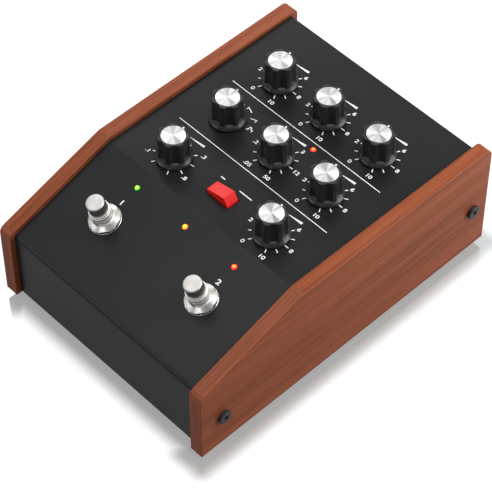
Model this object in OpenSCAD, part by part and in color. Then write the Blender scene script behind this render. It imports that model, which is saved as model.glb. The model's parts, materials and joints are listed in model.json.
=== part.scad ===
// Analog delay pedal: a folded steel chassis between two wooden cheeks, with eight
// fluted knobs, a rocker and four lamps on the panels and two footswitches on the slope.
// Millimetres, +X to the right, +Y to the rear, +Z up, origin on the floor under the middle.

/* [Chassis] */
// Width of the steel chassis between the cheeks
chassis_w = 136.4; // [132:0.1:150]
// Depth of the chassis from its front face to its rear lips
chassis_d = 201.6; // [196:0.1:215]
// Thickness of the folded sheet
sheet_t = 1.5; // [1.2:0.1:1.8]
// Height of the base underside above the floor
base_gap = 7; // [6:0.5:10]
// Height of the level panel above the base underside
panel_h = 66.8; // [64:0.1:75]
// Angle of the sloped foot panel
slope_deg = 17.7; // [14:0.1:19]
// Level depth of the sloped foot panel
foot_panel_d = 67.8; // [66:0.1:72]
// Outside radius of the folded edges
fold_r = 2; // [1.9:0.1:3]
// Outside radius of the bend between the panels
bend_r = 4; // [3:0.5:8]
// Outside radius of the fold along the front of the top panel
lip_r = 1; // [0.8:0.1:1.6]
// Height of the top panel's front lip above the front wall
lip_h = 2.9; // [2:0.1:4]
// Depth to which that lip reaches down behind the front wall
lip_tuck = 6; // [4:0.5:10]
// Height of the rear lips that hold the rear panel
rear_lip = 9; // [8:0.5:12]
// Clearance between assembled sheets
sheet_gap = 0.1; // [0.05:0.05:0.3]

/* [Cheeks] */
// Thickness of each wooden cheek
cheek_t = 8.4; // [7:0.1:12]
// Height of the cheek underside above the floor
cheek_gap = 5; // [3:0.5:6]
// How far the cheeks stand above the panels
cheek_proud = 2.75; // [2:0.05:5]
// How far the cheeks reach in front of the chassis
cheek_front = 3.2; // [2:0.1:6]
// How far the cheeks reach behind the chassis
cheek_rear = 5.2; // [5:0.1:8]
// Radius of the rounded nose at the front top corner
nose_r = 4.5; // [3:0.5:8]
// Radius of the bend in the top edge
cheek_bend_r = 8; // [4:1:20]
// Radius of the other corners
corner_r = 2; // [1.5:0.1:4]
// Radius of the eased edges along both faces
edge_r = 1; // [0.5:0.1:1.4]

/* [Cheek screws] */
// Nominal diameter of the cheek screws
screw_d = 4; // [3:0.5:4]
// Diameter of the low cap head
screw_head_d = 7.8; // [7.2:0.1:10]
// Height of the low cap head
screw_head_h = 2.3; // [1.6:0.1:3]
// Size of the chamfer on the head's rim
screw_ease = 0.3; // [0.1:0.1:0.5]
// Width across the flats of the hexagon socket
screw_key = 3; // [2:0.1:3.5]
// Diameter of the press nuts on the cheek screws
press_nut_d = 6.4; // [5.4:0.1:6.8]
// Height of the press nuts
press_nut_h = 3.2; // [2.4:0.1:4]
// Distance of the front screw from the front face of the chassis
screw_front_y = 12; // [9:0.5:30]
// Height of the front screw above the base underside
screw_front_z = 20.4; // [16:0.1:30]
// Distance of the rear screw from the rear panel's inner face
screw_rear_y = 3.6; // [3.5:0.1:30]
// Height of the rear screw above the base underside
screw_rear_z = 29; // [26:0.1:40]

/* [Knobs] */
// Spacing of the control columns
col_pitch = 36.4; // [32:0.1:40]
// Distance of the rear control row from the rear of the chassis
row_inset = 39.8; // [36:0.1:42]
// Distance of the front control row behind the bend
front_row_inset = 16.6; // [15.5:0.1:18]
// Diameter of the knob's skirt
skirt_d = 20.4; // [19:0.1:24]
// Diameter of the fluted body at its foot
body_d = 17.7; // [17:0.1:18.4]
// Diameter of the fluted body at its rim
rim_d = 17.2; // [16.6:0.1:17.6]
// Height of the knob's rim above the panel
knob_h = 17.3; // [16:0.1:22]
// Gap between the skirt and the panel
knob_gap = 0.5; // [0.4:0.1:1]
// Height of the skirt's top above the panel
skirt_h = 3.8; // [3.2:0.1:4.5]
// Height above the panel of the edge where the skirt's cone starts
skirt_edge = 1.8; // [1.5:0.1:2.4]
// Number of flutes around the body
flutes = 7; // [6:1:9]
// Radius of each flute
flute_r = 4.7; // [3:0.1:5]
// Distance of the flute's floor from the knob's axis
flute_floor = 7.5; // [7.2:0.05:7.8]
// Size of the chamfer on the rim
rim_chamfer = 0.5; // [0.2:0.1:0.8]
// Diameter of the inset metal disc
disc_d = 13.2; // [12:0.1:13.6]
// Thickness of the metal disc
disc_t = 0.8; // [0.5:0.1:1.2]
// How far the disc stands above the rim
disc_proud = 0.1; // [0:0.05:0.3]
// Width of the pointer groove in the rim
pointer_w = 1.1; // [0.8:0.1:2]
// Length of the pointer, out from the disc
pointer_l = 1.2; // [0.8:0.1:1.6]
// Depth of the pointer groove
pointer_deep = 0.3; // [0.2:0.05:0.5]

/* [Potentiometers] */
// Diameter of the control shafts
shaft_d = 6; // [5.6:0.1:6.35]
// Running clearance around each shaft
shaft_gap = 0.05; // [0.02:0.01:0.09]
// Height of the shaft's end above the panel
shaft_h = 13.5; // [12:0.1:14.5]
// Diameter of the potentiometer cans
pot_d = 16.4; // [15:0.1:18]
// Height of the potentiometer cans
pot_h = 9.5; // [9:0.1:12]
// Diameter of the rotary switch body
selector_d = 19; // [17:0.1:22]
// Diameter of the threaded bushes
bush_d = 7; // [6.8:0.1:7.6]
// Height of the bushes above the panel
bush_h = 5; // [4:0.1:5.2]
// Width of the bush nuts across their flats
pot_nut_w = 10; // [9:0.1:10.6]
// Thickness of the bush nuts
pot_nut_t = 2; // [1.5:0.1:2.5]
// Clearance between screwed pieces
thread_gap = 0.05; // [0.02:0.01:0.1]
// Room around the nut and bush inside a knob
nut_room = 0.6; // [0.4:0.1:0.8]

/* [Rocker] */
// Offset of the rocker from the middle column
rocker_x = 0.4; // [0:0.1:1]
// Width of the rocker
rocker_w = 7.6; // [6:0.1:9]
// Length of the rocker's flat top
rocker_top_l = 12.9; // [11:0.1:15]
// Spread of each end between the top and its foot
rocker_flare = 1.7; // [1:0.1:2.4]
// Height of the ends between the top and their foot
rocker_end_h = 5.1; // [4.6:0.1:5.6]
// Height of the flat top above the pivot
rocker_h = 6.6; // [6.2:0.1:7]
// Depth of the rocker's pivot below the panel
pivot_deep = 2.8; // [2.7:0.1:3]
// Angle that the rocker leans to either side
rocker_tilt = 12.5; // [8:0.1:14]
// Diameter of the pivot stubs
stub_d = 1.8; // [1.4:0.1:1.9]
// Length of each pivot stub
stub_l = 1; // [0.8:0.1:1.2]
// Thickness of the rocker frame's walls
frame_t = 1.4; // [1.3:0.1:1.8]
// Height of the solid foot of the frame
frame_floor = 4; // [2:0.1:4.5]
// Clearance between the rocker and its frame
rocker_gap = 0.3; // [0.25:0.05:0.4]

/* [Lamps] */
// Diameter of the lamps
lamp_d = 3; // [2.6:0.1:3.4]
// Height of a lamp's tip above the panel
lamp_proud = 0.6; // [0.3:0.1:1.2]
// Diameter of the lamp's flange
lamp_flange_d = 3.8; // [3.6:0.1:4.4]
// Thickness of that flange
lamp_flange_t = 1; // [0.8:0.1:1.4]
// Length of a lamp from its flange to its tip
lamp_l = 5; // [4:0.1:6]
// Diameter of the lamp's legs
leg_d = 0.5; // [0.4:0.05:0.7]
// Spacing of the lamp's legs
leg_pitch = 1.8; // [1.4:0.1:2.2]
// Distance of the lamp row from the bend, down the slope
lamp_s = 10.1; // [8:0.1:12]
// Distance of the rate lamp from the middle column
rate_lamp_x = 10.1; // [10:0.1:12]
// Distance of the rate lamp behind the middle row
rate_lamp_y = 17.6; // [14:0.1:18]

/* [Footswitches] */
// Distance of the footswitches from the bend, down the slope
foot_s = 33.8; // [30:0.1:38]
// Diameter of the plunger
plunger_d = 10.1; // [9:0.1:10.4]
// Height of the plunger's top above the slope
plunger_h = 19.6; // [17:0.1:24]
// Radius of the plunger's rounded rim
plunger_r = 0.9; // [0.5:0.1:1.5]
// Travel of the plunger
plunger_travel = 3.5; // [2:0.1:4]
// Length of the plunger below the slope
plunger_tail = 9; // [6:0.5:10]
// Running clearance around the plunger
plunger_gap = 0.08; // [0.04:0.01:0.1]
// Diameter of the footswitch bush
foot_bush_d = 12; // [11.6:0.1:13]
// Height of the threaded bush above the slope
foot_bush_h = 11; // [9:0.1:12]
// Diameter of the plain collar on the bush
foot_collar_d = 11.4; // [11:0.1:11.6]
// Height of the plain collar
foot_collar_h = 1.4; // [0.8:0.1:2]
// Width of the nut across its flats
foot_nut_w = 16.6; // [14.5:0.1:17]
// Thickness of the nut
foot_nut_t = 2; // [1.6:0.1:3]
// Angle of the nut's corners from the line between both footswitches
foot_nut_turn = 45; // [0:5:60]
// Width of the flat ring at the nut's crown
foot_crown_w = 0.1; // [0.1:0.1:0.6]
// Angle of the cone turned on the nut's crown
foot_crown_deg = 36; // [20:1:40]
// Diameter of the flat washer
flat_washer_d = 18; // [17:0.1:20]
// Thickness of the flat washer
flat_washer_t = 0.6; // [0.4:0.1:1]
// Diameter of the lock washer
lock_washer_d = 16.2; // [14.5:0.1:17]
// Thickness of the lock washer
lock_washer_t = 1; // [0.6:0.1:1.4]
// Width of the switch body
foot_body_w = 17; // [15:0.1:19]
// Depth of the switch body below the panel
foot_body_h = 20; // [18:0.5:24]

/* [Jacks] */
// Number of jack sockets in the rear row
jacks = 6; // [2:1:6]
// Distance of the row's end sockets from the edges of the main board
jack_edge = 8; // [7.5:0.1:11]
// Diameter of the jack bores
jack_bore_d = 6.4; // [6.35:0.01:6.5]
// Depth of the jack bores from their mouth
jack_deep = 32; // [30:0.5:34]
// Diameter of the threaded jack bushes
jack_bush_d = 9; // [8.6:0.1:9.6]
// Length of the bushes behind the rear panel's outer face
jack_bush_l = 5; // [4:0.1:6]
// Width of the jack nuts across their flats
jack_nut_w = 12; // [11:0.1:13]
// Thickness of the jack nuts
jack_nut_t = 2; // [1.5:0.1:2.5]
// Width of the jack bodies
jack_w = 14; // [12.5:0.1:15]
// Height of the jack bodies
jack_h = 13; // [12:0.1:15]
// Thickness of the jack's end wall
jack_wall = 1; // [0.8:0.1:2]
// Width of the power inlet
inlet_w = 9; // [8.6:0.1:10]
// Length of the power inlet's body
inlet_l = 14; // [12:0.1:16]
// Diameter of the power inlet's barrel
inlet_barrel_d = 8; // [7.6:0.1:8.4]
// Diameter of the hole in the power inlet
inlet_bore_d = 5.6; // [5.5:0.05:6]
// Depth of the hole in the power inlet
inlet_deep = 10; // [9:0.1:11]
// Diameter of the power inlet's centre pin
inlet_pin_d = 2.1; // [1.9:0.1:2.5]

/* [Boards] */
// Thickness of the circuit boards
board_t = 1.6; // [1:0.1:2]
// Height of the main board above the base
spacer_h = 6; // [4:0.5:8]
// Diameter of the board spacers
spacer_d = 6; // [5:0.1:7]
// Diameter of the board and rear panel screws
small_screw_d = 3; // [2.5:0.1:3]
// Diameter of their heads
small_head_d = 5.6; // [5:0.1:6]
// Height of their heads
small_head_h = 1.8; // [1.2:0.1:2.2]
// Clearance between the main board and the side walls
board_margin = 4.7; // [4:0.1:7]
// Depth of the main board
main_board_d = 150; // [130:1:160]
// Margin of the control board around its outer shafts
control_margin = 12; // [11:0.5:14]
// Depth of the lamp board along the slope
lamp_board_d = 8; // [6:0.1:9]
// Width of the ribbon cable
ribbon_w = 20; // [12:1:26]
// Thickness of the ribbon cable
ribbon_t = 0.9; // [0.6:0.1:1.4]
// Slack of the ribbon cable to one side
ribbon_slack = 12; // [4:1:16]
// Height of the ribbon cable's headers
header_h = 6; // [4:0.5:8]
// Depth of the ribbon cable's headers
header_d = 5; // [4:0.5:6]
// Length of the delay chips
chip_l = 20; // [14:1:24]
// Width of the delay chips
chip_w = 7; // [6:0.5:8]
// Height of the delay chips
chip_h = 3.6; // [2:0.1:5]
// Diameter of the notch at one end of a chip
chip_notch_d = 2.4; // [1.5:0.1:3]
// Diameter of the capacitors
can_d = 8; // [5:0.5:9]
// Height of the capacitors
can_h = 11; // [8:0.5:13]

/* [Feet] */
// Diameter of the rubber feet at the floor
foot_d = 15; // [12:0.5:20]
// Diameter of the rubber feet at the base
foot_top_d = 17; // [14:0.5:22]
// Distance of the feet from the edges of the base
foot_inset = 17; // [14:0.5:24]
// Size of the rounded edge at the foot of the feet
foot_edge = 1; // [0.5:0.1:2]

/* [Hidden] */
$fn = 64;
// Steps in a rounded corner of an outline
arc_steps = 8;
// Steps of an eased edge
edge_steps = 4;
// Overshoot of cutting tools past the faces they cut
over = 1;
// Thickness of the thin slices that a blended solid is drawn between
slice = 0.01;
// Smallest radius of an inner corner
inner_min = 0.1;

// Main levels and planes
cheek_l = cheek_front + chassis_d + cheek_rear;
front_y = cheek_front - cheek_l / 2;
rear_y = front_y + chassis_d;
bend_y = front_y + foot_panel_d;
base_z = base_gap;
floor_z = base_z + sheet_t;
panel_z = base_z + panel_h;
panel_low = panel_z - sheet_t;
lip_y = front_y + sheet_t + sheet_gap;
wall_z = panel_z - (bend_y - lip_y) * tan(slope_deg) - lip_h;
inner_w = chassis_w - 2 * (sheet_t + sheet_gap);
rear_face = rear_y - sheet_t;
rear_back = rear_face - sheet_t;
control_z = panel_low - pot_h;
main_z = floor_z + spacer_h + board_t;
socket_z = main_z + jack_h / 2;
main_board_w = chassis_w - 2 * (sheet_t + board_margin);
jack_pitch = (main_board_w - 2 * jack_edge) / jacks;
row_pitch = (rear_y - row_inset - bend_y - front_row_inset) / 2;

// Places of the controls on the level panel, by column and row
function place(column, row) = [column * col_pitch, rear_y - row_inset - row * row_pitch];
drive_at = place(-1, 0);
level_at = place(0, 0);
mix_at = place(1, 0);
wave_at = place(-1, 1);
rate_at = place(0, 1);
amount_at = place(1, 1);
time_at = place(-1, 2);
rocker_at = place(0, 2);
feedback_at = place(1, 2);
pots_at = [drive_at, level_at, mix_at, rate_at, amount_at, time_at, feedback_at];
knobs_at = concat(pots_at, [wave_at]);

// Rounded outlines: each corner of a counter-clockwise polygon becomes an arc
function unit(v) = v / norm(v);
function corner_arc(p, q, s, r) =
    let (
        a = unit(p - q),
        b = unit(s - q),
        half = acos(a * b) / 2,
        centre = q + unit(a + b) * r / sin(half),
        from = atan2(a[0], -a[1]),
        sweep = 180 - 2 * half
    )
    [for (i = [0 : arc_steps]) let (t = from + sweep * i / arc_steps) centre + r * [cos(t), sin(t)]];
function rounded(points, radii) =
    let (n = len(points))
    [for (i = [0 : n - 1]) each corner_arc(points[(i + n - 1) % n], points[i], points[(i + 1) % n], radii[i])];

// Section of the chassis behind a front plane, set in by a distance, in front to rear and height
function chassis_corners(front, in) = [
    [front + in, base_z + in],
    [rear_y - in, base_z + in],
    [rear_y - in, panel_z - in],
    [bend_y + in * tan(slope_deg / 2), panel_z - in],
    [front + in, panel_z - (bend_y - front - in) * tan(slope_deg) - in / cos(slope_deg)]
];
function chassis_outline(front, in) =
    let (r = max(fold_r - in, inner_min))
    rounded(chassis_corners(front, in), [r, r, r, bend_r - in, max(lip_r - in, inner_min)]);

// Section of a cheek, drawn out from the chassis section and set in by a distance
function cheek_outline(in) =
    let (
        up = cheek_proud - in,
        front = front_y - cheek_front + in,
        rear = rear_y + cheek_rear - in,
        low = cheek_gap + in,
        knee = bend_y - up * tan(slope_deg / 2),
        nose = panel_z + up - (knee - front) * tan(slope_deg),
        r = corner_r - in
    )
    rounded(
        [[front, low], [rear, low], [rear, panel_z + up], [knee, panel_z + up], [front, nose]],
        [r, r, r, cheek_bend_r - in, nose_r - in]
    );

// Placing helpers
module across(w) {
    rotate([90, 0, 90])
        translate([0, 0, -w / 2])
            linear_extrude(w)
                children();
}
module on_panel(at) {
    translate([at[0], at[1], panel_z])
        children();
}
module on_slope(x, s) {
    translate([x, bend_y, panel_z])
        rotate([slope_deg, 0, 0])
            translate([0, -s, 0])
                children();
}
module at_cheek_screws() {
    for (side = [-1, 1])
        for (place = [
            [front_y + screw_front_y, base_z + screw_front_z],
            [rear_back - screw_rear_y, base_z + screw_rear_z]
        ])
            translate([side * chassis_w / 2, place[0], place[1]])
                rotate([0, side * 90, 0])
                    children();
}
module at_footswitches() {
    for (side = [-1, 1])
        on_slope(side * col_pitch, foot_s)
            children();
}
module at_lamps() {
    for (column = [-1 : 1])
        on_slope(column * col_pitch, lamp_s)
            children();
}
module at_rate_lamp() {
    translate([rate_at[0] + rate_lamp_x, rate_at[1] + rate_lamp_y, panel_z])
        children();
}
module at_rear_screws() {
    for (x = [-1, 1] * (chassis_w / 2 - foot_inset))
        for (z = [base_z + rear_lip / 2, panel_z - rear_lip / 2])
            translate([x, rear_y, z])
                rotate([-90, 0, 0])
                    children();
}
module at_jacks() {
    for (i = [0 : jacks - 1])
        translate([jack_x(i), rear_face, socket_z])
            rotate([-90, 0, 0])
                children();
}
function jack_x(i) = (i - jacks / 2) * jack_pitch;
module at_inlet() {
    translate([jack_x(jacks), rear_face, main_z + inlet_w / 2])
        rotate([-90, 0, 0])
            children();
}
module at_spacers() {
    for (x = [-1, 1] * (main_board_w / 2 - spacer_d))
        for (y = [main_front + spacer_d, rear_back - jack_deep - spacer_d])
            translate([x, y, floor_z])
                children();
}
// Drills a round hole through whatever lies from the first height to the second
module drill(d, low, high) {
    translate([0, 0, low])
        cylinder(d = d, h = high - low);
}
module hex_nut(w, t, bore) {
    difference() {
        cylinder(d = w / cos(30), h = t, $fn = 6);
        drill(bore, -over, t + over);
    }
}

// Folded sheet metal
module sheet_section(front) {
    difference() {
        polygon(chassis_outline(front, 0));
        polygon(chassis_outline(front, sheet_t));
    }
}
// Section of the top panel, with its front lip cut off at a height
module top_section(lip_low) {
    intersection() {
        sheet_section(lip_y);
        polygon([
            [front_y, lip_low],
            [bend_y, lip_low],
            [bend_y, panel_z - rear_lip],
            [rear_y + over, panel_z - rear_lip],
            [rear_y + over, panel_z + over],
            [front_y, panel_z + over]
        ]);
    }
}
module base_section() {
    intersection() {
        sheet_section(front_y);
        polygon([
            [front_y - over, base_z - over],
            [rear_y + over, base_z - over],
            [rear_y + over, base_z + rear_lip],
            [bend_y, base_z + rear_lip],
            [bend_y, wall_z],
            [front_y - over, wall_z]
        ]);
    }
}
module top_panel() {
    color("#303232")
        difference() {
            union() {
                across(chassis_w - 2 * sheet_gap)
                    top_section(wall_z + sheet_gap);
                across(inner_w)
                    intersection() {
                        top_section(wall_z - lip_tuck);
                        translate([front_y, base_z])
                            square([2 * (lip_y - front_y), panel_h]);
                    }
            }
            for (at = knobs_at)
                on_panel(at)
                    drill(bush_d + 2 * sheet_gap, -sheet_t - over, over);
            on_panel(rocker_at)
                rocker_slot();
            at_rate_lamp()
                drill(lamp_d + 2 * sheet_gap, -sheet_t - over, over);
            at_lamps()
                drill(lamp_d + 2 * sheet_gap, -sheet_t - over, over);
            at_footswitches()
                drill(foot_bush_d + 2 * sheet_gap, -sheet_t - over, over);
            at_rear_screws()
                drill(small_screw_d + 2 * thread_gap, -sheet_t - over, over);
        }
}
module base_tray() {
    color("#2e3030")
        difference() {
            union() {
                across(chassis_w)
                    base_section();
                for (side = [-1, 1])
                    translate([side * (chassis_w - sheet_t) / 2, 0, 0])
                        across(sheet_t) {
                            base_section();
                            polygon(chassis_outline(lip_y, sheet_t + sheet_gap));
                            side_foot();
                        }
            }
            at_cheek_screws()
                drill(screw_d + 2 * thread_gap, -sheet_t - over, over);
            at_rear_screws()
                drill(small_screw_d + 2 * thread_gap, -sheet_t - over, over);
        }
}
// Joins a side wall to the folded floor and front wall below it
module side_foot() {
    intersection() {
        polygon(chassis_outline(front_y, sheet_t / 2));
        translate([front_y, base_z])
            square([chassis_d, wall_z - base_z]);
    }
}
module rear_panel() {
    low = base_z + fold_r + sheet_gap;
    color("#2c2e2e")
        difference() {
            translate([-inner_w / 2, rear_back, low])
                cube([inner_w, sheet_t, panel_z - fold_r - sheet_gap - low]);
            at_jacks()
                drill(jack_bush_d + 2 * sheet_gap, -sheet_t - over, over);
            at_inlet()
                drill(inlet_barrel_d + 2 * sheet_gap, -sheet_t - over, over);
            at_rear_screws()
                drill(small_screw_d + 2 * thread_gap, -2 * sheet_t - over, over);
        }
}

// Wooden cheeks with eased edges along both faces
module cheek(side) {
    color("#9a5a42")
        difference() {
            translate([side * (chassis_w + cheek_t) / 2, 0, 0])
                hull()
                    for (face = [-1, 1])
                        for (a = [0 : 90 / edge_steps : 90])
                            translate([face * (cheek_t / 2 - edge_r * (1 - sin(a)) - slice / 2), 0, 0])
                                across(slice)
                                    polygon(cheek_outline(edge_r * (1 - cos(a))));
            at_cheek_screws()
                drill(screw_d + 4 * sheet_gap, -over, cheek_t + over);
        }
}
module left_cheek() {
    cheek(-1);
}
module right_cheek() {
    cheek(1);
}
// Button head with a hexagon socket, domed as a slice of a sphere
module button_head(d, h, key) {
    dome_r = (d * d / 4 + h * h) / (2 * h);
    difference() {
        intersection() {
            translate([0, 0, h - dome_r])
                sphere(r = dome_r);
            cylinder(d = d, h = h + over);
        }
        translate([0, 0, h / 3])
            cylinder(d = key / cos(30), h = h, $fn = 6);
    }
}
// Low cap head with a chamfered rim and a hexagon socket
module cap_head(d, h, key) {
    difference() {
        rotate_extrude()
            polygon([
                [0, 0],
                [d / 2, 0],
                [d / 2, h - screw_ease],
                [d / 2 - screw_ease, h],
                [0, h]
            ]);
        translate([0, 0, h / 3])
            cylinder(d = key / cos(30), h = h, $fn = 6);
    }
}
module cheek_screws() {
    color("#1c1c1d")
        at_cheek_screws() {
            translate([0, 0, cheek_t])
                cap_head(screw_head_d, screw_head_h, screw_key);
            translate([0, 0, -sheet_t - screw_d])
                cylinder(d = screw_d, h = cheek_t + sheet_t + screw_d);
        }
}
// Round press nuts inside the side walls
module cheek_nuts() {
    color("silver")
        at_cheek_screws()
            translate([0, 0, -sheet_t - press_nut_h])
                difference() {
                    cylinder(d = press_nut_d, h = press_nut_h);
                    drill(screw_d + 2 * thread_gap, -over, press_nut_h + over);
                }
}
module rear_screws() {
    color("#1c1c1d")
        at_rear_screws() {
            button_head(small_head_d, small_head_h, small_screw_d / 2);
            translate([0, 0, -2 * sheet_t - small_screw_d])
                cylinder(d = small_screw_d, h = 2 * sheet_t + small_screw_d);
        }
}
module rubber_feet() {
    color("#202020")
        for (x = [-1, 1] * (chassis_w / 2 - foot_inset))
            for (y = [front_y + foot_inset, rear_y - foot_inset])
                translate([x, y, 0])
                    rotate_extrude()
                        polygon([
                            [0, 0],
                            [foot_d / 2 - foot_edge, 0],
                            [foot_d / 2, foot_edge],
                            [foot_top_d / 2, base_z],
                            [0, base_z]
                        ]);
}

// Knob: a fluted body with a land at the pointer, standing on a conical skirt
skirt_section = [
    [0, knob_gap],
    [skirt_d / 2 - rim_chamfer / 2, knob_gap],
    [skirt_d / 2, knob_gap + rim_chamfer / 2],
    [skirt_d / 2, skirt_edge],
    [body_d / 2 - rim_chamfer, skirt_h],
    [0, skirt_h]
];
body_section = [
    [0, skirt_edge],
    [body_d / 2, skirt_edge],
    [rim_d / 2, knob_h - rim_chamfer],
    [rim_d / 2 - rim_chamfer, knob_h],
    [0, knob_h]
];
module fluted_body() {
    difference() {
        rotate_extrude()
            polygon(body_section);
        for (i = [0 : flutes - 1])
            rotate(90 - (i + 0.5) * 360 / flutes)
                translate([flute_floor + flute_r, 0, 0])
                    cylinder(r = flute_r, h = knob_h + over);
    }
}
module knob(at) {
    cavity_d = pot_nut_w / cos(30) + 2 * nut_room;
    color("#161616")
        on_panel(at)
            difference() {
                union() {
                    rotate_extrude()
                        polygon(skirt_section);
                    fluted_body();
                }
                drill(cavity_d, 0, bush_h + nut_room);
                drill(shaft_d + 2 * shaft_gap, 0, shaft_h + shaft_gap);
                drill(disc_d + 2 * sheet_gap, knob_h + disc_proud - disc_t, knob_h + over);
                translate([-pointer_w / 2, 0, knob_h - pointer_deep])
                    cube([pointer_w, disc_d / 2 + pointer_l, pointer_deep + over]);
            }
}
module disc(at) {
    color("#dcdad8")
        on_panel(at)
            translate([0, 0, knob_h + disc_proud - disc_t])
                cylinder(d = disc_d, h = disc_t);
}
shaft_low = -sheet_t - pot_h / 2;
module shaft(at) {
    color("silver")
        on_panel(at)
            drill(shaft_d, shaft_low, shaft_h);
}
module drive_knob() {
    knob(drive_at);
}
module level_knob() {
    knob(level_at);
}
module mix_knob() {
    knob(mix_at);
}
module wave_knob() {
    knob(wave_at);
}
module rate_knob() {
    knob(rate_at);
}
module amount_knob() {
    knob(amount_at);
}
module time_knob() {
    knob(time_at);
}
module feedback_knob() {
    knob(feedback_at);
}
module drive_disc() {
    disc(drive_at);
}
module level_disc() {
    disc(level_at);
}
module mix_disc() {
    disc(mix_at);
}
module wave_disc() {
    disc(wave_at);
}
module rate_disc() {
    disc(rate_at);
}
module amount_disc() {
    disc(amount_at);
}
module time_disc() {
    disc(time_at);
}
module feedback_disc() {
    disc(feedback_at);
}
module drive_shaft() {
    shaft(drive_at);
}
module level_shaft() {
    shaft(level_at);
}
module mix_shaft() {
    shaft(mix_at);
}
module wave_shaft() {
    shaft(wave_at);
}
module rate_shaft() {
    shaft(rate_at);
}
module amount_shaft() {
    shaft(amount_at);
}
module time_shaft() {
    shaft(time_at);
}
module feedback_shaft() {
    shaft(feedback_at);
}

// Potentiometers and rotary switch under the level panel
module turning_body(at, d) {
    on_panel(at)
        difference() {
            union() {
                drill(d, -sheet_t - pot_h, -sheet_t);
                drill(bush_d, -sheet_t - pot_h / 2, bush_h);
            }
            drill(shaft_d + 2 * shaft_gap, shaft_low - shaft_gap, bush_h + over);
        }
}
module pot_bodies() {
    color("silver")
        for (at = pots_at)
            turning_body(at, pot_d);
}
module selector_body() {
    color("#3a3f46")
        turning_body(wave_at, selector_d);
}
module bush_nuts() {
    color("silver")
        for (at = knobs_at)
            on_panel(at)
                hex_nut(pot_nut_w, pot_nut_t, bush_d + 2 * thread_gap);
}

// Rocker: a flat top with flared ends, on stubs that turn in a frame under the panel
rocker_foot = [rocker_top_l / 2 + rocker_flare, rocker_h - rocker_end_h];
rocker_reach = norm(rocker_foot);
frame_reach = rocker_reach + rocker_gap;
rocker_side = rocker_w / 2 + rocker_gap;
module rocker_slot() {
    translate([rocker_x - frame_reach, -rocker_side, -sheet_t - over])
        cube([2 * frame_reach, 2 * rocker_side, sheet_t + 2 * over]);
}
module at_pivot() {
    on_panel(rocker_at)
        translate([rocker_x, 0, -pivot_deep])
            children();
}
// Lays a round bar of a length along the pivot's axis
module pivot_bar(d, l) {
    rotate([90, 0, 0])
        cylinder(d = d, h = l, center = true);
}
module range_rocker() {
    hub = stub_d;
    color("#e02420")
        at_pivot()
            rotate([0, -rocker_tilt, 0]) {
                rotate([90, 0, 0])
                    linear_extrude(rocker_w, center = true)
                        polygon([
                            [-hub, -hub],
                            [hub, -hub],
                            [rocker_foot[0], 0],
                            rocker_foot,
                            [rocker_top_l / 2, rocker_h],
                            [-rocker_top_l / 2, rocker_h],
                            [-rocker_foot[0], rocker_foot[1]],
                            [-rocker_foot[0], 0]
                        ]);
                pivot_bar(stub_d, 2 * (rocker_side + stub_l));
            }
}
module rocker_frame() {
    half_l = frame_reach + frame_t;
    half_w = rocker_side + frame_t;
    low = pivot_deep - sheet_t - pot_h;
    high = pivot_deep - sheet_t - sheet_gap;
    color("#202121")
        at_pivot()
            difference() {
                translate([-half_l, -half_w, low])
                    cube([2 * half_l, 2 * half_w, high - low]);
                intersection() {
                    pivot_bar(2 * frame_reach, 2 * rocker_side);
                    translate([-half_l, -half_w, low + frame_floor])
                        cube([2 * half_l, 2 * half_w, high - low]);
                }
                pivot_bar(stub_d + 2 * shaft_gap, 2 * (rocker_side + stub_l + shaft_gap));
            }
}

// Lamps on legs, standing on the board that lights them
module lamp(board_deep) {
    dome_z = lamp_proud - lamp_d / 2;
    flange_z = lamp_proud - lamp_l;
    translate([0, 0, dome_z])
        sphere(d = lamp_d);
    drill(lamp_d, flange_z, dome_z);
    drill(lamp_flange_d, flange_z, flange_z + lamp_flange_t);
    for (x = [-1, 1] * leg_pitch / 2)
        translate([x, 0, 0])
            drill(leg_d, -board_deep, flange_z + leg_d);
}
lamp_board_deep = lamp_l + board_t;
module rate_lamp() {
    color("#ff4030")
        at_rate_lamp()
            lamp(sheet_t + pot_h);
}
module slope_lamp(column) {
    on_slope(column * col_pitch, lamp_s)
        lamp(lamp_board_deep);
}
module time_lamp() {
    color("#50e060")
        slope_lamp(-1);
}
module level_lamp() {
    color("#ffb030")
        slope_lamp(0);
}
module bypass_lamp() {
    color("#ff4030")
        slope_lamp(1);
}
module lamp_board() {
    w = 2 * (col_pitch + lamp_board_d);
    color("#1f5a38")
        on_slope(-w / 2, lamp_s + lamp_board_d / 2)
            translate([0, 0, -lamp_board_deep - board_t])
                cube([w, lamp_board_d, board_t]);
}

// Footswitches through the slope
plunger_low = -plunger_tail;
module plunger(side) {
    steps = 8;
    r = plunger_d / 2;
    color("#d8d6d2")
        on_slope(side * col_pitch, foot_s)
            rotate_extrude()
                polygon(concat(
                    [[0, plunger_low], [r, plunger_low]],
                    [for (i = [0 : steps]) let (a = 90 * i / steps)
                        [r - plunger_r * (1 - cos(a)), plunger_h - plunger_r * (1 - sin(a))]],
                    [[0, plunger_h]]
                ));
}
module tap_plunger() {
    plunger(-1);
}
module bypass_plunger() {
    plunger(1);
}
module footswitch_bodies() {
    bore_low = plunger_low - plunger_travel - over;
    collar_top = foot_bush_h + foot_collar_h;
    color("#c8c6c2")
        at_footswitches()
            difference() {
                union() {
                    translate([-foot_body_w / 2, -foot_body_w / 2, -sheet_t - foot_body_h])
                        cube([foot_body_w, foot_body_w, foot_body_h]);
                    drill(foot_bush_d, -sheet_t - over, foot_bush_h);
                    drill(foot_collar_d, 0, collar_top);
                }
                drill(plunger_d + 2 * plunger_gap, bore_low, collar_top + over);
            }
}
module flat_washers() {
    color("#d0ceca")
        at_footswitches()
            difference() {
                cylinder(d = flat_washer_d, h = flat_washer_t);
                drill(foot_bush_d + 2 * thread_gap, -over, flat_washer_t + over);
            }
}
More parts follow.
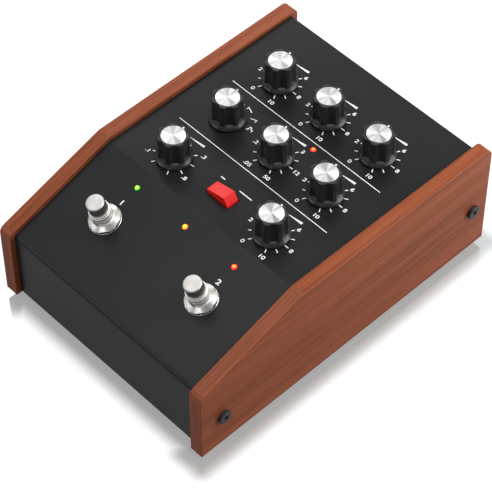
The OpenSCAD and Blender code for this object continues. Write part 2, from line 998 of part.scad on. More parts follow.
module lock_washers() {
    color("#2a2a2a")
        at_footswitches()
            translate([0, 0, flat_washer_t])
                difference() {
                    cylinder(d = lock_washer_d, h = lock_washer_t);
                    drill(foot_bush_d + 2 * thread_gap, -over, lock_washer_t + over);
                }
}
// Hexagon nut turned to a cone from its crown down to its corners
module footswitch_nuts() {
    bore = foot_bush_d + 2 * thread_gap;
    crown_r = bore / 2 + foot_crown_w;
    color("#d4d2ce")
        at_footswitches()
            translate([0, 0, flat_washer_t + lock_washer_t])
                intersection() {
                    rotate(foot_nut_turn)
                        hex_nut(foot_nut_w, foot_nut_t, bore);
                    cylinder(r1 = crown_r + foot_nut_t / tan(foot_crown_deg), r2 = crown_r, h = foot_nut_t);
                }
}

// Rear sockets standing on the main board
module jack_sockets() {
    mouth = jack_bush_l;
    body_l = jack_deep + jack_wall - mouth - sheet_t;
    color("#26282a")
        at_jacks()
            difference() {
                union() {
                    translate([-jack_w / 2, -jack_h / 2, -sheet_t - body_l])
                        cube([jack_w, jack_h, body_l]);
                    drill(jack_bush_d, -sheet_t - over, mouth);
                }
                drill(jack_bore_d, mouth - jack_deep, mouth + over);
            }
}
module jack_nuts() {
    color("#c8c6c2")
        at_jacks()
            hex_nut(jack_nut_w, jack_nut_t, jack_bush_d + 2 * thread_gap);
}
module power_inlet() {
    color("#1e1f20")
        at_inlet()
            difference() {
                union() {
                    translate([-inlet_w / 2, -inlet_w / 2, -sheet_t - inlet_l])
                        cube([inlet_w, inlet_w, inlet_l]);
                    drill(inlet_barrel_d, -sheet_t - over, sheet_gap);
                }
                drill(inlet_bore_d, sheet_gap - inlet_deep, over);
                drill(inlet_pin_d + 2 * thread_gap, -sheet_t - inlet_l - over, over);
            }
}
module inlet_pin() {
    color("#d8c890")
        at_inlet()
            drill(inlet_pin_d, -sheet_t - inlet_l, -over);
}

// Circuit boards and what stands on them
main_rear = rear_back - spacer_d / 2;
main_front = main_rear - main_board_d;
module main_board() {
    color("#1f5a38")
        difference() {
            translate([-main_board_w / 2, main_front, main_z - board_t])
                cube([main_board_w, main_board_d, board_t]);
            at_spacers()
                drill(small_screw_d + 4 * thread_gap, spacer_h - over, spacer_h + board_t + over);
        }
}
module board_spacers() {
    color("#b8b0a0")
        at_spacers()
            difference() {
                cylinder(d = spacer_d, h = spacer_h);
                drill(small_screw_d + 2 * thread_gap, over, spacer_h + over);
            }
}
module board_screws() {
    color("silver")
        at_spacers()
            translate([0, 0, spacer_h + board_t]) {
                button_head(small_head_d, small_head_h, small_screw_d / 2);
                drill(small_screw_d, over + over / 2 - spacer_h - board_t, over / 2);
            }
}
module control_board() {
    w = 2 * (col_pitch + control_margin);
    d = 2 * (row_pitch + control_margin);
    color("#1f5a38")
        translate([-w / 2, rocker_at[1] - control_margin, control_z - board_t])
            cube([w, d, board_t]);
}
module delay_chips() {
    pitch = 2 * chip_w;
    color("#202224")
        for (i = [0 : 3])
            translate([-main_board_w / 4 - chip_l / 2, main_front + spacer_d * 3 + i * pitch, main_z])
                difference() {
                    cube([chip_l, chip_w, chip_h]);
                    translate([0, chip_w / 2, chip_h])
                        cylinder(d = chip_notch_d, h = chip_h / 2, center = true);
                }
}
module capacitors() {
    pitch = 2 * can_d;
    color("#303a58")
        for (i = [0 : 3])
            translate([main_board_w / 4, main_front + spacer_d * 3 + i * pitch, main_z])
                cylinder(d = can_d, h = can_h);
}
// Flat cable between two headers, slack to one side
ribbon_y = wave_at[1];
ribbon_top = control_z - board_t;
module ribbon_cable() {
    steps = 16;
    low = main_z + header_h / 2;
    high = ribbon_top - header_h / 2;
    side = [for (i = [0 : steps]) let (t = i / steps)
        [ribbon_y - ribbon_slack * pow(sin(180 * t), 2), low + (high - low) * t]];
    color("#9a9a98") {
        across(ribbon_w)
            polygon(concat(
                [for (p = side) p + [ribbon_t / 2, 0]],
                [for (i = [steps : -1 : 0]) side[i] - [ribbon_t / 2, 0]]
            ));
        for (z = [main_z, ribbon_top - header_h])
            translate([-ribbon_w / 2 - header_d / 2, ribbon_y - header_d / 2, z])
                cube([ribbon_w + header_d, header_d, header_h]);
    }
}

top_panel();
base_tray();
rear_panel();
left_cheek();
right_cheek();
cheek_screws();
cheek_nuts();
rear_screws();
rubber_feet();
control_board();
lamp_board();
main_board();
board_spacers();
board_screws();
pot_bodies();
selector_body();
bush_nuts();
rate_lamp();
time_lamp();
level_lamp();
bypass_lamp();
range_rocker();
rocker_frame();
tap_plunger();
bypass_plunger();
footswitch_bodies();
footswitch_nuts();
lock_washers();
flat_washers();
jack_sockets();
jack_nuts();
power_inlet();
inlet_pin();
delay_chips();
capacitors();
ribbon_cable();
drive_knob();
level_knob();
mix_knob();
wave_knob();
rate_knob();
amount_knob();
time_knob();
feedback_knob();
drive_disc();
level_disc();
mix_disc();
wave_disc();
rate_disc();
amount_disc();
time_disc();
feedback_disc();
drive_shaft();
level_shaft();
mix_shaft();
wave_shaft();
rate_shaft();
amount_shaft();
time_shaft();
feedback_shaft();
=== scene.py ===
"""Looks of the analog delay pedal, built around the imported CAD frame."""

import json
import math

import bmesh
import bpy
from mathutils import Matrix, Vector


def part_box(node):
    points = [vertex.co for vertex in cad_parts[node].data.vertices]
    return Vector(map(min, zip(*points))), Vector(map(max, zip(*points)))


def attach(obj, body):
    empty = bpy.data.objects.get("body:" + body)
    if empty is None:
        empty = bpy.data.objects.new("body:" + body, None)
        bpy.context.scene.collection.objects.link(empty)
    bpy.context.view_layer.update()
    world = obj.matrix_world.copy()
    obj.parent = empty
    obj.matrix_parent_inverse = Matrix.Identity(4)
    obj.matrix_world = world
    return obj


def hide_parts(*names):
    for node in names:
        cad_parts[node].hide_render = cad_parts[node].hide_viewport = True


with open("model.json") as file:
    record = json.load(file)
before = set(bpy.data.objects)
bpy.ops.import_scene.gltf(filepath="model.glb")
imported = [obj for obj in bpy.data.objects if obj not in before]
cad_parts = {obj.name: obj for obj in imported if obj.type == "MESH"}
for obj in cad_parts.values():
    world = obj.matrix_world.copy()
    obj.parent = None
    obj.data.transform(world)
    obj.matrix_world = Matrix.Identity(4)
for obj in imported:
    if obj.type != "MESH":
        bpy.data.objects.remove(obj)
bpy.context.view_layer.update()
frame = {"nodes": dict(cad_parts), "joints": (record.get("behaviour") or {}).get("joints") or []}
scene = bpy.context.scene

MM = 0.001
TURN = 2 * math.pi

# Places read from the frame
joints = {joint["name"]: joint for joint in frame["joints"]}
KNOBS = [name[: -len("_turn")] for name in joints if name.endswith("_turn")]
PANEL_Z = joints["rate_turn"]["pos_m"][2]
SLOPE_NORMAL = Vector(joints["tap_press"]["axis"]).normalized()
SLOPE = math.atan2(-SLOPE_NORMAL.y, SLOPE_NORMAL.z)
COLUMN = joints["mix_turn"]["pos_m"][0]
TIME_ROW_Y = joints["time_turn"]["pos_m"][1]
CHEEK_LOW, CHEEK_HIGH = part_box("right_cheek")
BASE_LOW, BASE_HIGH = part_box("base_tray")

# Chassis and cheeks, millimetres
BEND_Y = -34.0
CHEEK_PROUD = 2.75
CHEEK_EDGE = 0.6
CHEEK_NOSE = 4.5
CHEEK_KNEE = 8.0
CHEEK_CORNER = 0.65
FOLD_R = 2.0
LIP_ROUND, LIP_SEAM, LIP_BACK = 2.6, 0.35, 4.0

# Screws and feet, millimetres
CHEEK_SCREW_R, CHEEK_SCREW_KEY, CHEEK_SHANK_R, CHEEK_SHANK_L = 3.9, 2.5, 2.0, 12.0
REAR_SCREW_R, REAR_SCREW_H, REAR_SCREW_KEY, REAR_SHANK_R, REAR_SHANK_L = 2.8, 1.75, 1.5, 1.5, 6.0
FOOT_R = 8.5
FOOT_SECTION = ((0, 0.8), (4.6, 0.8), (5.2, 0), (6.4, 0), (7.2, 0.4), (7.5, 1.1))

# Knobs, millimetres
SKIRT_R, SKIRT_EDGE, SKIRT_H, CONE_TOP_R = 10.2, 1.8, 3.8, 8.35
BODY_R, RIM_R, RIM_EASE, FOOT_EASE = 8.85, 8.6, 0.5, 0.3
KNOB_H, KNOB_GAP = 17.3, 0.5
FLUTES, FLUTE_R, FLUTE_FLOOR, FLUTE_EDGE = 7, 4.7, 7.5, 0.28
DISC_R, DISC_T, DISC_PROUD = 6.6, 0.8, 0.1
SHAFT_R, SHAFT_H, CAVITY_R, CAVITY_H = 3.05, 13.55, 6.37, 5.6
POINTER_W, POINTER_L, POINTER_DEEP = 1.0, 1.1, 0.3

# Printed marks, millimetres and degrees
TICK_IN, TICK_OUT, TICK_W = 9.7, 12.3, 0.6
TICK_SWEEP = 300.0
INK_T = 0.03
LINE_YS, LINE_HALF, LINE_W = (42.6, 3.75), 55.0, 0.5
NUMBER_H = 2.35
GLYPH_TALL, GLYPH_WIDE, GLYPH_BOLD, GLYPH_T = 0.70, 1.22, 0.026, 0.004
WEDGE_L, WEDGE_H, WEDGE_OUT = 11.5, 1.5, 15.6
BARS, BAR_W, BAR_OUT = ((-8.2, 3.0), (8.6, 9.0)), 0.7, 8.6
FOOT_NUMBER_H, FOOT_NUMBER_UP = 3.0, 12.5

# Footswitches, millimetres and degrees
PLUNGER_R, PLUNGER_H, PLUNGER_LOW, PLUNGER_EDGE = 5.05, 19.6, -9.0, 0.9
BUSH_R, BUSH_H, BUSH_BORE, BUSH_FOOT, BUSH_FLAT = 6.0, 11.0, 5.13, -13.5, 5.4
COLLAR_R, COLLAR_H, GROOVE_R, GROOVE_H = 5.7, 1.4, 5.3, 0.4
THREAD_PITCH, THREAD_DEEP, THREAD_TOP, SHOULDER_H, SHOULDER_CUT = 0.75, 0.3, 6.4, 1.7, 0.5
WASHER_R, WASHER_T, LOCK_R, LOCK_T, LOCK_TEETH, TOOTH_DEEP = 9.0, 0.6, 8.7, 1.0, 16, 0.55
NUT_FLATS, NUT_T, NUT_BORE, NUT_TURN = 16.6, 2.0, 6.05, 45.0
CROWN_R, CROWN_DEG = 6.15, 36.0

# Places down the slope from the bend, millimetres
FOOT_S, LAMP_S = 33.8, 10.1

# Lamp lenses, millimetres
LENS_R, LENS_PROUD, LENS_L, LENS_FLANGE = 1.5, 0.6, 5.0, 0.4


# Mesh helpers


def mesh_from(bm, name, sharp=35.0):
    """Closes a bmesh into a smooth-shaded mesh with creases at sharp corners, scaled to metres."""
    bmesh.ops.recalc_face_normals(bm, faces=bm.faces)
    bmesh.ops.scale(bm, vec=(MM, MM, MM), verts=bm.verts)
    mesh = bpy.data.meshes.new(name)
    bm.to_mesh(mesh)
    bm.free()
    crease(mesh, sharp)
    return mesh


def crease(mesh, angle):
    mesh.polygons.foreach_set("use_smooth", [True] * len(mesh.polygons))
    mesh.set_sharp_from_angle(angle=math.radians(angle))


def turned(profile, steps=96, shape=None, loop=False):
    """Turns (radius, height) points about Z; shape(angle, radius, height) may move each point."""
    bm = bmesh.new()
    rings = []
    for radius, height in profile:
        if radius == 0:
            rings.append([bm.verts.new((0, 0, height))] * steps)
            continue
        ring = []
        for i in range(steps):
            angle = TURN * i / steps
            r, z = shape(angle, radius, height) if shape else (radius, height)
            ring.append(bm.verts.new((r * math.cos(angle), r * math.sin(angle), z)))
        rings.append(ring)
    pairs = list(zip(rings, rings[1:]))
    if loop:
        pairs.append((rings[-1], rings[0]))
    for low, high in pairs:
        for i in range(steps):
            j = (i + 1) % steps
            corners = dict.fromkeys((low[i], low[j], high[j], high[i]))
            if len(corners) > 2:
                bm.faces.new(corners)
    return bm


def rim(radius, height, ease, steps, first=0):
    """Points of a quarter round that eases a turned edge, from its side up to its top."""
    angles = [TURN / 4 * k / steps for k in range(first, steps + 1)]
    return [(radius - ease * (1 - math.cos(a)), height - ease * (1 - math.sin(a))) for a in angles]


def flat_top(radius, height):
    """Rings of a flat turned top, from near its edge to its middle."""
    return [(radius * share, height) for share in (0.75, 0.5, 0.25, 0.02, 0)]


def skinned(rings):
    """Joins rings of points, all of one count, side by side and closes both ends."""
    bm = bmesh.new()
    loops = [[bm.verts.new(point) for point in ring] for ring in rings]
    for near, far in zip(loops, loops[1:]):
        for i in range(len(near)):
            j = (i + 1) % len(near)
            bm.faces.new((near[i], near[j], far[j], far[i]))
    bm.faces.new(loops[0])
    bm.faces.new(loops[-1])
    return bm


def rounded(points, radii, steps=10):
    """Outline of a counter-clockwise polygon with its corners rounded, as a list of points."""
    outline = []
    count = len(points)
    for i, corner in enumerate(points):
        to_last = (points[i - 1] - corner).normalized()
        to_next = (points[(i + 1) % count] - corner).normalized()
        half = to_last.angle(to_next) / 2
        centre = corner + (to_last + to_next).normalized() * radii[i] / math.sin(half)
        start = math.atan2(to_last.x, -to_last.y)
        for k in range(steps + 1):
            angle = start + (math.pi - 2 * half) * k / steps
            outline.append(centre + radii[i] * Vector((math.cos(angle), math.sin(angle))))
    return outline


def squared(bm, y, z):
    """Draws the fold of a sheet at a corner, y and z in metres, out to that corner."""
    middle_y = y - math.copysign(FOLD_R * MM, y)
    middle_z = z - math.copysign(FOLD_R * MM, z - PANEL_Z / 2)
    for vertex in bm.verts:
        across, up = vertex.co.y - middle_y, vertex.co.z - middle_z
        if across * (y - middle_y) > 0 and up * (z - middle_z) > 0:
            grow = math.hypot(across, up) / max(abs(across), abs(up))
            vertex.co.y, vertex.co.z = middle_y + across * grow, middle_z + up * grow


def merged_copy(name, sharp=35.0, bevel=0.0, segments=2, corner=None):
    """A welded copy of a CAD node's mesh: flat faces whole, edges eased and one fold drawn out."""
    bm = bmesh.new()
    bm.from_mesh(frame["nodes"][name].data)
    bmesh.ops.remove_doubles(bm, verts=bm.verts, dist=1e-6)
    if corner:
        squared(bm, *corner)
    bmesh.ops.dissolve_limit(bm, angle_limit=math.radians(0.5), verts=bm.verts, edges=bm.edges)
    if bevel:
        limit = math.radians(sharp)
        edges = [e for e in bm.edges if len(e.link_faces) == 2 and e.calc_face_angle() > limit]
        bmesh.ops.bevel(
            bm, geom=edges, offset=bevel * MM, segments=segments, profile=0.5,
            affect="EDGES", clamp_overlap=True)
    mesh = bpy.data.meshes.new(name + "_form")
    bm.to_mesh(mesh)
    bm.free()
    crease(mesh, sharp)
    return flattened(mesh)


def carried(name, data):
    """A new object of the scene that carries this data."""
    carrier = bpy.data.objects.new(name, data)
    scene.collection.objects.link(carrier)
    return carrier


def baked(carrier):
    """The finished mesh of a carrier, which is then removed."""
    depsgraph = bpy.context.evaluated_depsgraph_get()
    mesh = bpy.data.meshes.new_from_object(carrier.evaluated_get(depsgraph))
    bpy.data.objects.remove(carrier)
    return mesh


def flattened(mesh):
    """The mesh with its normals held by its large faces, so that flat sheet shades flat."""
    carrier = carried(mesh.name, mesh)
    modifier = carrier.modifiers.new("flat", "WEIGHTED_NORMAL")
    modifier.mode = "FACE_AREA"
    modifier.keep_sharp = True
    return baked(carrier)


def placed(mesh, place):
    mesh.transform(place)
    return mesh


def joined(name, meshes):
    bm = bmesh.new()
    for mesh in meshes:
        bm.from_mesh(mesh)
    whole = bpy.data.meshes.new(name)
    bm.to_mesh(whole)
    bm.free()
    return whole


def coat(mesh, material):
    mesh.materials.clear()
    mesh.materials.append(material)


def piece(name, mesh, material, body, stands_for=()):
    """A finished piece on its body, in place of CAD nodes where it names any."""
    obj = carried(name, mesh)
    coat(mesh, material)
    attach(obj, body)
    if stands_for:
        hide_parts(*stands_for)
    return obj


def panel_place(x, y):
    """Matrix to a point of the level panel, in metres."""
    return Matrix.Translation((x, y, PANEL_Z))


def slope_place(x, s):
    """Matrix to a point of the slope, at a distance in metres down from the bend."""
    bend = Matrix.Translation((x, BEND_Y * MM, PANEL_Z))
    return bend @ Matrix.Rotation(SLOPE, 4, "X") @ Matrix.Translation((0, -s, 0))


def knob_place(name):
    return Matrix.Translation(joints[name + "_turn"]["pos_m"])


# Material helpers

# Depth of a grain's relief, millimetres
RELIEF_H = 0.2


def node(tree, kind, inputs=None, **settings):
    made = tree.nodes.new(kind)
    for key, value in settings.items():
        setattr(made, key, value)
    for key, value in (inputs or {}).items():
        if isinstance(value, bpy.types.NodeSocket):
            tree.links.new(value, made.inputs[key])
        else:
            made.inputs[key].default_value = value
    return made


def finish(name, **sockets):
    """A material whose Principled shader has these sockets; returns it with its tree and shader."""
    material = bpy.data.materials.new(name)
    material.use_nodes = True
    tree = material.node_tree
    shader = tree.nodes["Principled BSDF"]
    for key, value in sockets.items():
        shader.inputs[key.replace("_", " ")].default_value = value
    return material, tree, shader


def ramp(tree, factor, stops):
    made = node(tree, "ShaderNodeValToRGB", {"Fac": factor})
    elements = made.color_ramp.elements
    while len(elements) < len(stops):
        elements.new(0.5)
    for element, (position, colour) in zip(elements, stops):
        element.position = position
        element.color = (*colour, 1)
    return made.outputs["Color"]


def spread(tree, amount, low, high, start=0.0, end=1.0, kind="LINEAR"):
    """Goes from low to high while the amount goes from start to end."""
    made = node(tree, "ShaderNodeMapRange", {
        "Value": amount, "From Min": start, "From Max": end, "To Min": low, "To Max": high},
        interpolation_type=kind)
    return made.outputs["Result"]


def between(tree, share, first, second):
    return node(tree, "ShaderNodeMix", {"Factor": share, "A": first, "B": second}).outputs["Result"]


def relief(tree, height, strength):
    made = node(tree, "ShaderNodeBump", {"Height": height, "Strength": strength, "Distance": RELIEF_H * MM})
    return made.outputs["Normal"]


def feed(tree, shader, sources):
    for socket, source in sources.items():
        tree.links.new(source, shader.inputs[socket])


def maths(tree, operation, first, second=0.0):
    return node(tree, "ShaderNodeMath", {0: first, 1: second}, operation=operation).outputs["Value"]


def parts_of(tree, vector):
    return node(tree, "ShaderNodeSeparateXYZ", {"Vector": vector}).outputs


def multiplied(tree, share, colour, tint):
    return node(tree, "ShaderNodeMix", {"Factor": share, 6: colour, 7: tint},
                data_type="RGBA", blend_type="MULTIPLY").outputs[2]


def object_point(tree):
    return node(tree, "ShaderNodeTexCoord").outputs["Object"]


def make_speckle():
    """Shared group: a fine grain and a broad unevenness of a finish."""
    group = bpy.data.node_groups.new("speckle", "ShaderNodeTree")
    group.interface.new_socket("Vector", in_out="INPUT", socket_type="NodeSocketVector")
    for label in ("Fine", "Broad"):
        group.interface.new_socket(label, in_out="INPUT", socket_type="NodeSocketFloat")
    for label in ("Grain", "Cloud"):
        group.interface.new_socket(label, in_out="OUTPUT", socket_type="NodeSocketFloat")
    entry = group.nodes.new("NodeGroupInput")
    leave = group.nodes.new("NodeGroupOutput")
    for label, scale, detail in (("Grain", "Fine", 2.0), ("Cloud", "Broad", 3.0)):
        noise = node(group, "ShaderNodeTexNoise", {
            "Vector": entry.outputs["Vector"], "Scale": entry.outputs[scale], "Detail": detail})
        group.links.new(noise.outputs["Fac"], leave.inputs[label])
    return group


SPECKLE = make_speckle()


def speckle(tree, fine, broad):
    made = node(tree, "ShaderNodeGroup", {"Vector": object_point(tree), "Fine": fine, "Broad": broad},
                node_tree=SPECKLE)
    return made.outputs["Grain"], made.outputs["Cloud"]


def grained(name, dark, light, rough, fine, broad, bump, **sockets):
    """A moulded or coated finish: clouded colour and roughness with a fine grain."""
    material, tree, shader = finish(name, **sockets)
    grain, cloud = speckle(tree, fine, broad)
    feed(tree, shader, {
        "Base Color": ramp(tree, cloud, ((0.3, dark), (0.7, light))),
        "Roughness": spread(tree, cloud, *rough),
        "Normal": relief(tree, grain, bump),
    })
    return material


def make_wood():
    """Oiled hardwood: grain along Y that follows the outline, fine pores and slow bands of colour."""
    material, tree, shader = finish(
        "oiled_wood", Specular_IOR_Level=0.04, Coat_Weight=0.25, Coat_Roughness=0.2)
    spot = node(tree, "ShaderNodeTexCoord").outputs
    place, facing = parts_of(tree, spot["Object"]), parts_of(tree, spot["Normal"])

    def product(axis, direction):
        return maths(tree, "MULTIPLY", place[axis], facing[direction])

    along = maths(tree, "SUBTRACT", product("Y", "Z"), product("Z", "Y"))
    deep = maths(tree, "ADD", product("Y", "Y"), product("Z", "Z"))
    wrapped = node(tree, "ShaderNodeCombineXYZ", {"X": place["X"], "Y": along, "Z": deep}).outputs["Vector"]
    side_face = maths(tree, "GREATER_THAN", maths(tree, "ABSOLUTE", facing["X"]), 0.6)
    point = node(tree, "ShaderNodeMix", {0: side_face, 4: wrapped, 5: spot["Object"]},
                 data_type="VECTOR").outputs[1]

    def streaks(across, lengthwise, detail, warp):
        scale = (across, lengthwise, across)
        stretched = node(tree, "ShaderNodeMapping", {"Vector": point, "Scale": scale})
        noise = node(tree, "ShaderNodeTexNoise", {
            "Vector": stretched.outputs["Vector"], "Scale": 1.0, "Detail": detail, "Distortion": warp})
        return noise.outputs["Fac"]

    bands = streaks(140.0, 3.0, 4.0, 0.5)
    fibres = streaks(850.0, 9.0, 3.0, 0.2)
    pores = streaks(2200.0, 40.0, 1.0, 0.0)
    colour = ramp(tree, between(tree, 0.55, bands, fibres), (
        (0.30, (0.150, 0.035, 0.013)), (0.46, (0.262, 0.067, 0.026)),
        (0.60, (0.330, 0.090, 0.038)), (0.74, (0.400, 0.120, 0.055))))
    pore_mask = ramp(tree, pores, ((0.30, (0.55, 0.50, 0.48)), (0.42, (1.0, 1.0, 1.0))))
    feed(tree, shader, {
        "Base Color": multiplied(tree, 0.55, colour, pore_mask),
        "Roughness": spread(tree, fibres, 0.45, 0.60),
        "Normal": relief(tree, pores, 0.12),
    })
    return material


def make_spun(name, dark, light, rough, anisotropic, painted_wedge_depth):
    """Spun or turned metal: marks round the axis draw its highlights out, and its colour is darkened in
    wedge-shaped sectors round the axis, a painted reflection of a given depth.
    """
    material, tree, shader = finish(name, Metallic=1.0, Anisotropic=anisotropic)
    polar = node(tree, "ShaderNodeUVMap", uv_map="turning").outputs["UV"]
    rings = node(tree, "ShaderNodeMapping", {"Vector": polar, "Scale": (0.0, 160.0, 0.0)})
    marks = node(tree, "ShaderNodeTexNoise", {"Vector": rings.outputs["Vector"], "Scale": 1.0, "Detail": 3.0})
    around = parts_of(tree, polar)["X"]
    # Painted reflection: wedge-shaped sectors round the axis that darken the colour, as if the face mirrored
    # its lights.
    sectors = node(tree, "ShaderNodeTexNoise", {"W": around, "Scale": 9.0, "Detail": 0.0},
                   noise_dimensions="1D")
    painted_reflection_sectors = ramp(tree, sectors.outputs["Fac"], (
        (0.36, (0.62, 0.62, 0.62)), (0.44, (0.82, 0.82, 0.82)), (0.49, (1.0, 1.0, 1.0))))
    metal = ramp(tree, marks.outputs["Fac"], ((0.3, dark), (0.7, light)))
    lay = node(tree, "ShaderNodeTangent", direction_type="UV_MAP", uv_map="turning")
    feed(tree, shader, {
        "Base Color": multiplied(tree, painted_wedge_depth, metal, painted_reflection_sectors),
        "Roughness": spread(tree, marks.outputs["Fac"], *rough),
        "Tangent": lay.outputs["Tangent"],
    })
    return material


def make_metal(name, dark, light, rough):
    """Plain metal: clouded colour and a finely grained roughness."""
    material, tree, shader = finish(name, Metallic=1.0)
    grain, cloud = speckle(tree, fine=900.0, broad=60.0)
    feed(tree, shader, {
        "Base Color": ramp(tree, cloud, ((0.3, dark), (0.7, light))),
        "Roughness": spread(tree, grain, *rough),
    })
    return material


def make_lamp(name, edge, core, strength):
    """A lit lens: hotter towards its middle, by the piece's own core attribute."""
    material, tree, shader = finish(name, Roughness=0.2, Emission_Strength=strength, Coat_Weight=0.5)
    heat = node(tree, "ShaderNodeAttribute", attribute_name="core").outputs["Fac"]
    noise = node(tree, "ShaderNodeTexNoise", {"Vector": object_point(tree), "Scale": 1400.0})
    uneven = maths(tree, "MULTIPLY", heat, spread(tree, noise.outputs["Fac"], 0.6, 1.3))
    glow = ramp(tree, uneven, ((0.15, edge), (0.75, core)))
    feed(tree, shader, {"Emission Color": glow, "Base Color": glow})
    return material


WOOD = make_wood()
PAINT = grained("satin_powder_coat", (0.0130, 0.0136, 0.0136), (0.0155, 0.0161, 0.0161), (0.27, 0.33),
                3200.0, 14.0, 0.06, Specular_IOR_Level=0.165)
KNOB_PLASTIC = grained("gloss_knob_plastic", (0.018, 0.018, 0.018), (0.022, 0.022, 0.022), (0.26, 0.32),
                       1200.0, 60.0, 0.008, Specular_IOR_Level=0.32)
BLACK_PLASTIC = grained("matt_black_plastic", (0.010, 0.010, 0.011), (0.016, 0.016, 0.017), (0.45, 0.55),
                        2500.0, 60.0, 0.10)
RED_PLASTIC = grained("red_plastic", (0.80, 0.012, 0.010), (0.86, 0.016, 0.013), (0.24, 0.30),
                      1500.0, 80.0, 0.03, Specular_IOR_Level=0.25)
RUBBER = grained("foot_rubber", (0.010, 0.010, 0.010), (0.018, 0.018, 0.018), (0.75, 0.85),
                 2200.0, 60.0, 0.30)
BLACK_STEEL = grained("blackened_steel", (0.022, 0.022, 0.023), (0.034, 0.034, 0.035), (0.34, 0.44),
                      1500.0, 90.0, 0.08, Metallic=0.3)
INK = grained("white_ink", (0.86, 0.86, 0.85), (0.92, 0.92, 0.91), (0.45, 0.55), 3000.0, 40.0, 0.05)
BOARD = grained("solder_mask", (0.010, 0.070, 0.030), (0.016, 0.100, 0.045), (0.30, 0.40), 900.0, 60.0, 0.05)
SLEEVE = grained("can_sleeve", (0.008, 0.012, 0.035), (0.014, 0.020, 0.055), (0.30, 0.40), 900.0, 80.0, 0.03)
RIBBON = grained("ribbon_grey", (0.22, 0.22, 0.22), (0.30, 0.30, 0.30), (0.45, 0.55), 700.0, 60.0, 0.10)
NICKEL = make_metal("satin_nickel", (0.74, 0.72, 0.69), (0.84, 0.82, 0.79), (0.28, 0.35))
# Bush nickel: rougher, with a colour lighter than the nut's nickel, which is painted light on the bush in the
# plunger's shade.
BUSH_NICKEL_PAINTED_LIGHT = make_metal("threaded_nickel", (0.88, 0.86, 0.83), (0.94, 0.92, 0.89), (0.54, 0.64))
STEEL = make_metal("plain_steel", (0.45, 0.45, 0.46), (0.58, 0.58, 0.59), (0.25, 0.40))
BRASS = make_metal("pin_brass", (0.62, 0.46, 0.20), (0.74, 0.58, 0.30), (0.20, 0.32))
# Both spun finishes paint reflection sectors into their colour: deep on the discs, faint on the button caps.
SPUN = make_spun("spun_aluminium", (0.66, 0.66, 0.66), (0.76, 0.76, 0.76), (0.26, 0.36), 1.0, 0.8)
TURNED = make_spun("turned_nickel", (0.52, 0.50, 0.48), (0.60, 0.58, 0.56), (0.42, 0.52), 0.6, 0.1)
LAMP_RED = make_lamp("lit_red_lens", (1.0, 0.010, 0.004), (1.0, 0.12, 0.012), 5.0)
LAMP_GREEN = make_lamp("lit_green_lens", (0.015, 0.40, 0.008), (0.50, 1.0, 0.035), 2.4)
LAMP_AMBER = make_lamp("lit_amber_lens", (1.0, 0.100, 0.003), (1.0, 0.34, 0.020), 5.0)


# Geometry Nodes trees for what repeats


def tree_with(name, inputs):
    """A tree with a way through for geometry and these inputs; returns it with both ends' sockets."""
    tree = bpy.data.node_groups.new(name, "GeometryNodeTree")
    tree.interface.new_socket("Geometry", in_out="INPUT", socket_type="NodeSocketGeometry")
    for label, kind in inputs:
        tree.interface.new_socket(label, in_out="INPUT", socket_type=kind)
    tree.interface.new_socket("Geometry", in_out="OUTPUT", socket_type="NodeSocketGeometry")
    return tree, tree.nodes.new("NodeGroupInput").outputs, tree.nodes.new("NodeGroupOutput").inputs


def end_tree(tree, instances, material, result):
    """Makes the instances real, gives them a material and leads them out."""
    real = node(tree, "GeometryNodeRealizeInstances", {"Geometry": instances})
    done = node(tree, "GeometryNodeSetMaterial", {
        "Geometry": real.outputs["Geometry"], "Material": material})
    tree.links.new(done.outputs["Geometry"], result["Geometry"])


def make_repeat_tree():
    """Sets a unit piece on every point of a mesh, its Z along the point's facing."""
    tree, given, result = tree_with("repeat_on_points", (
        ("Unit", "NodeSocketObject"), ("Finish", "NodeSocketMaterial")))
    unit = node(tree, "GeometryNodeObjectInfo", {"Object": given["Unit"]}).outputs["Geometry"]
    facing = node(tree, "GeometryNodeInputNamedAttribute", {"Name": "facing"}, data_type="FLOAT_VECTOR")
    turn = node(tree, "FunctionNodeAlignRotationToVector", {"Vector": facing.outputs["Attribute"]}, axis="Z")
    spots = node(tree, "GeometryNodeInstanceOnPoints", {
        "Points": given["Geometry"], "Instance": unit, "Rotation": turn.outputs["Rotation"]})
    end_tree(tree, spots.outputs["Instances"], given["Finish"], result)
    return tree


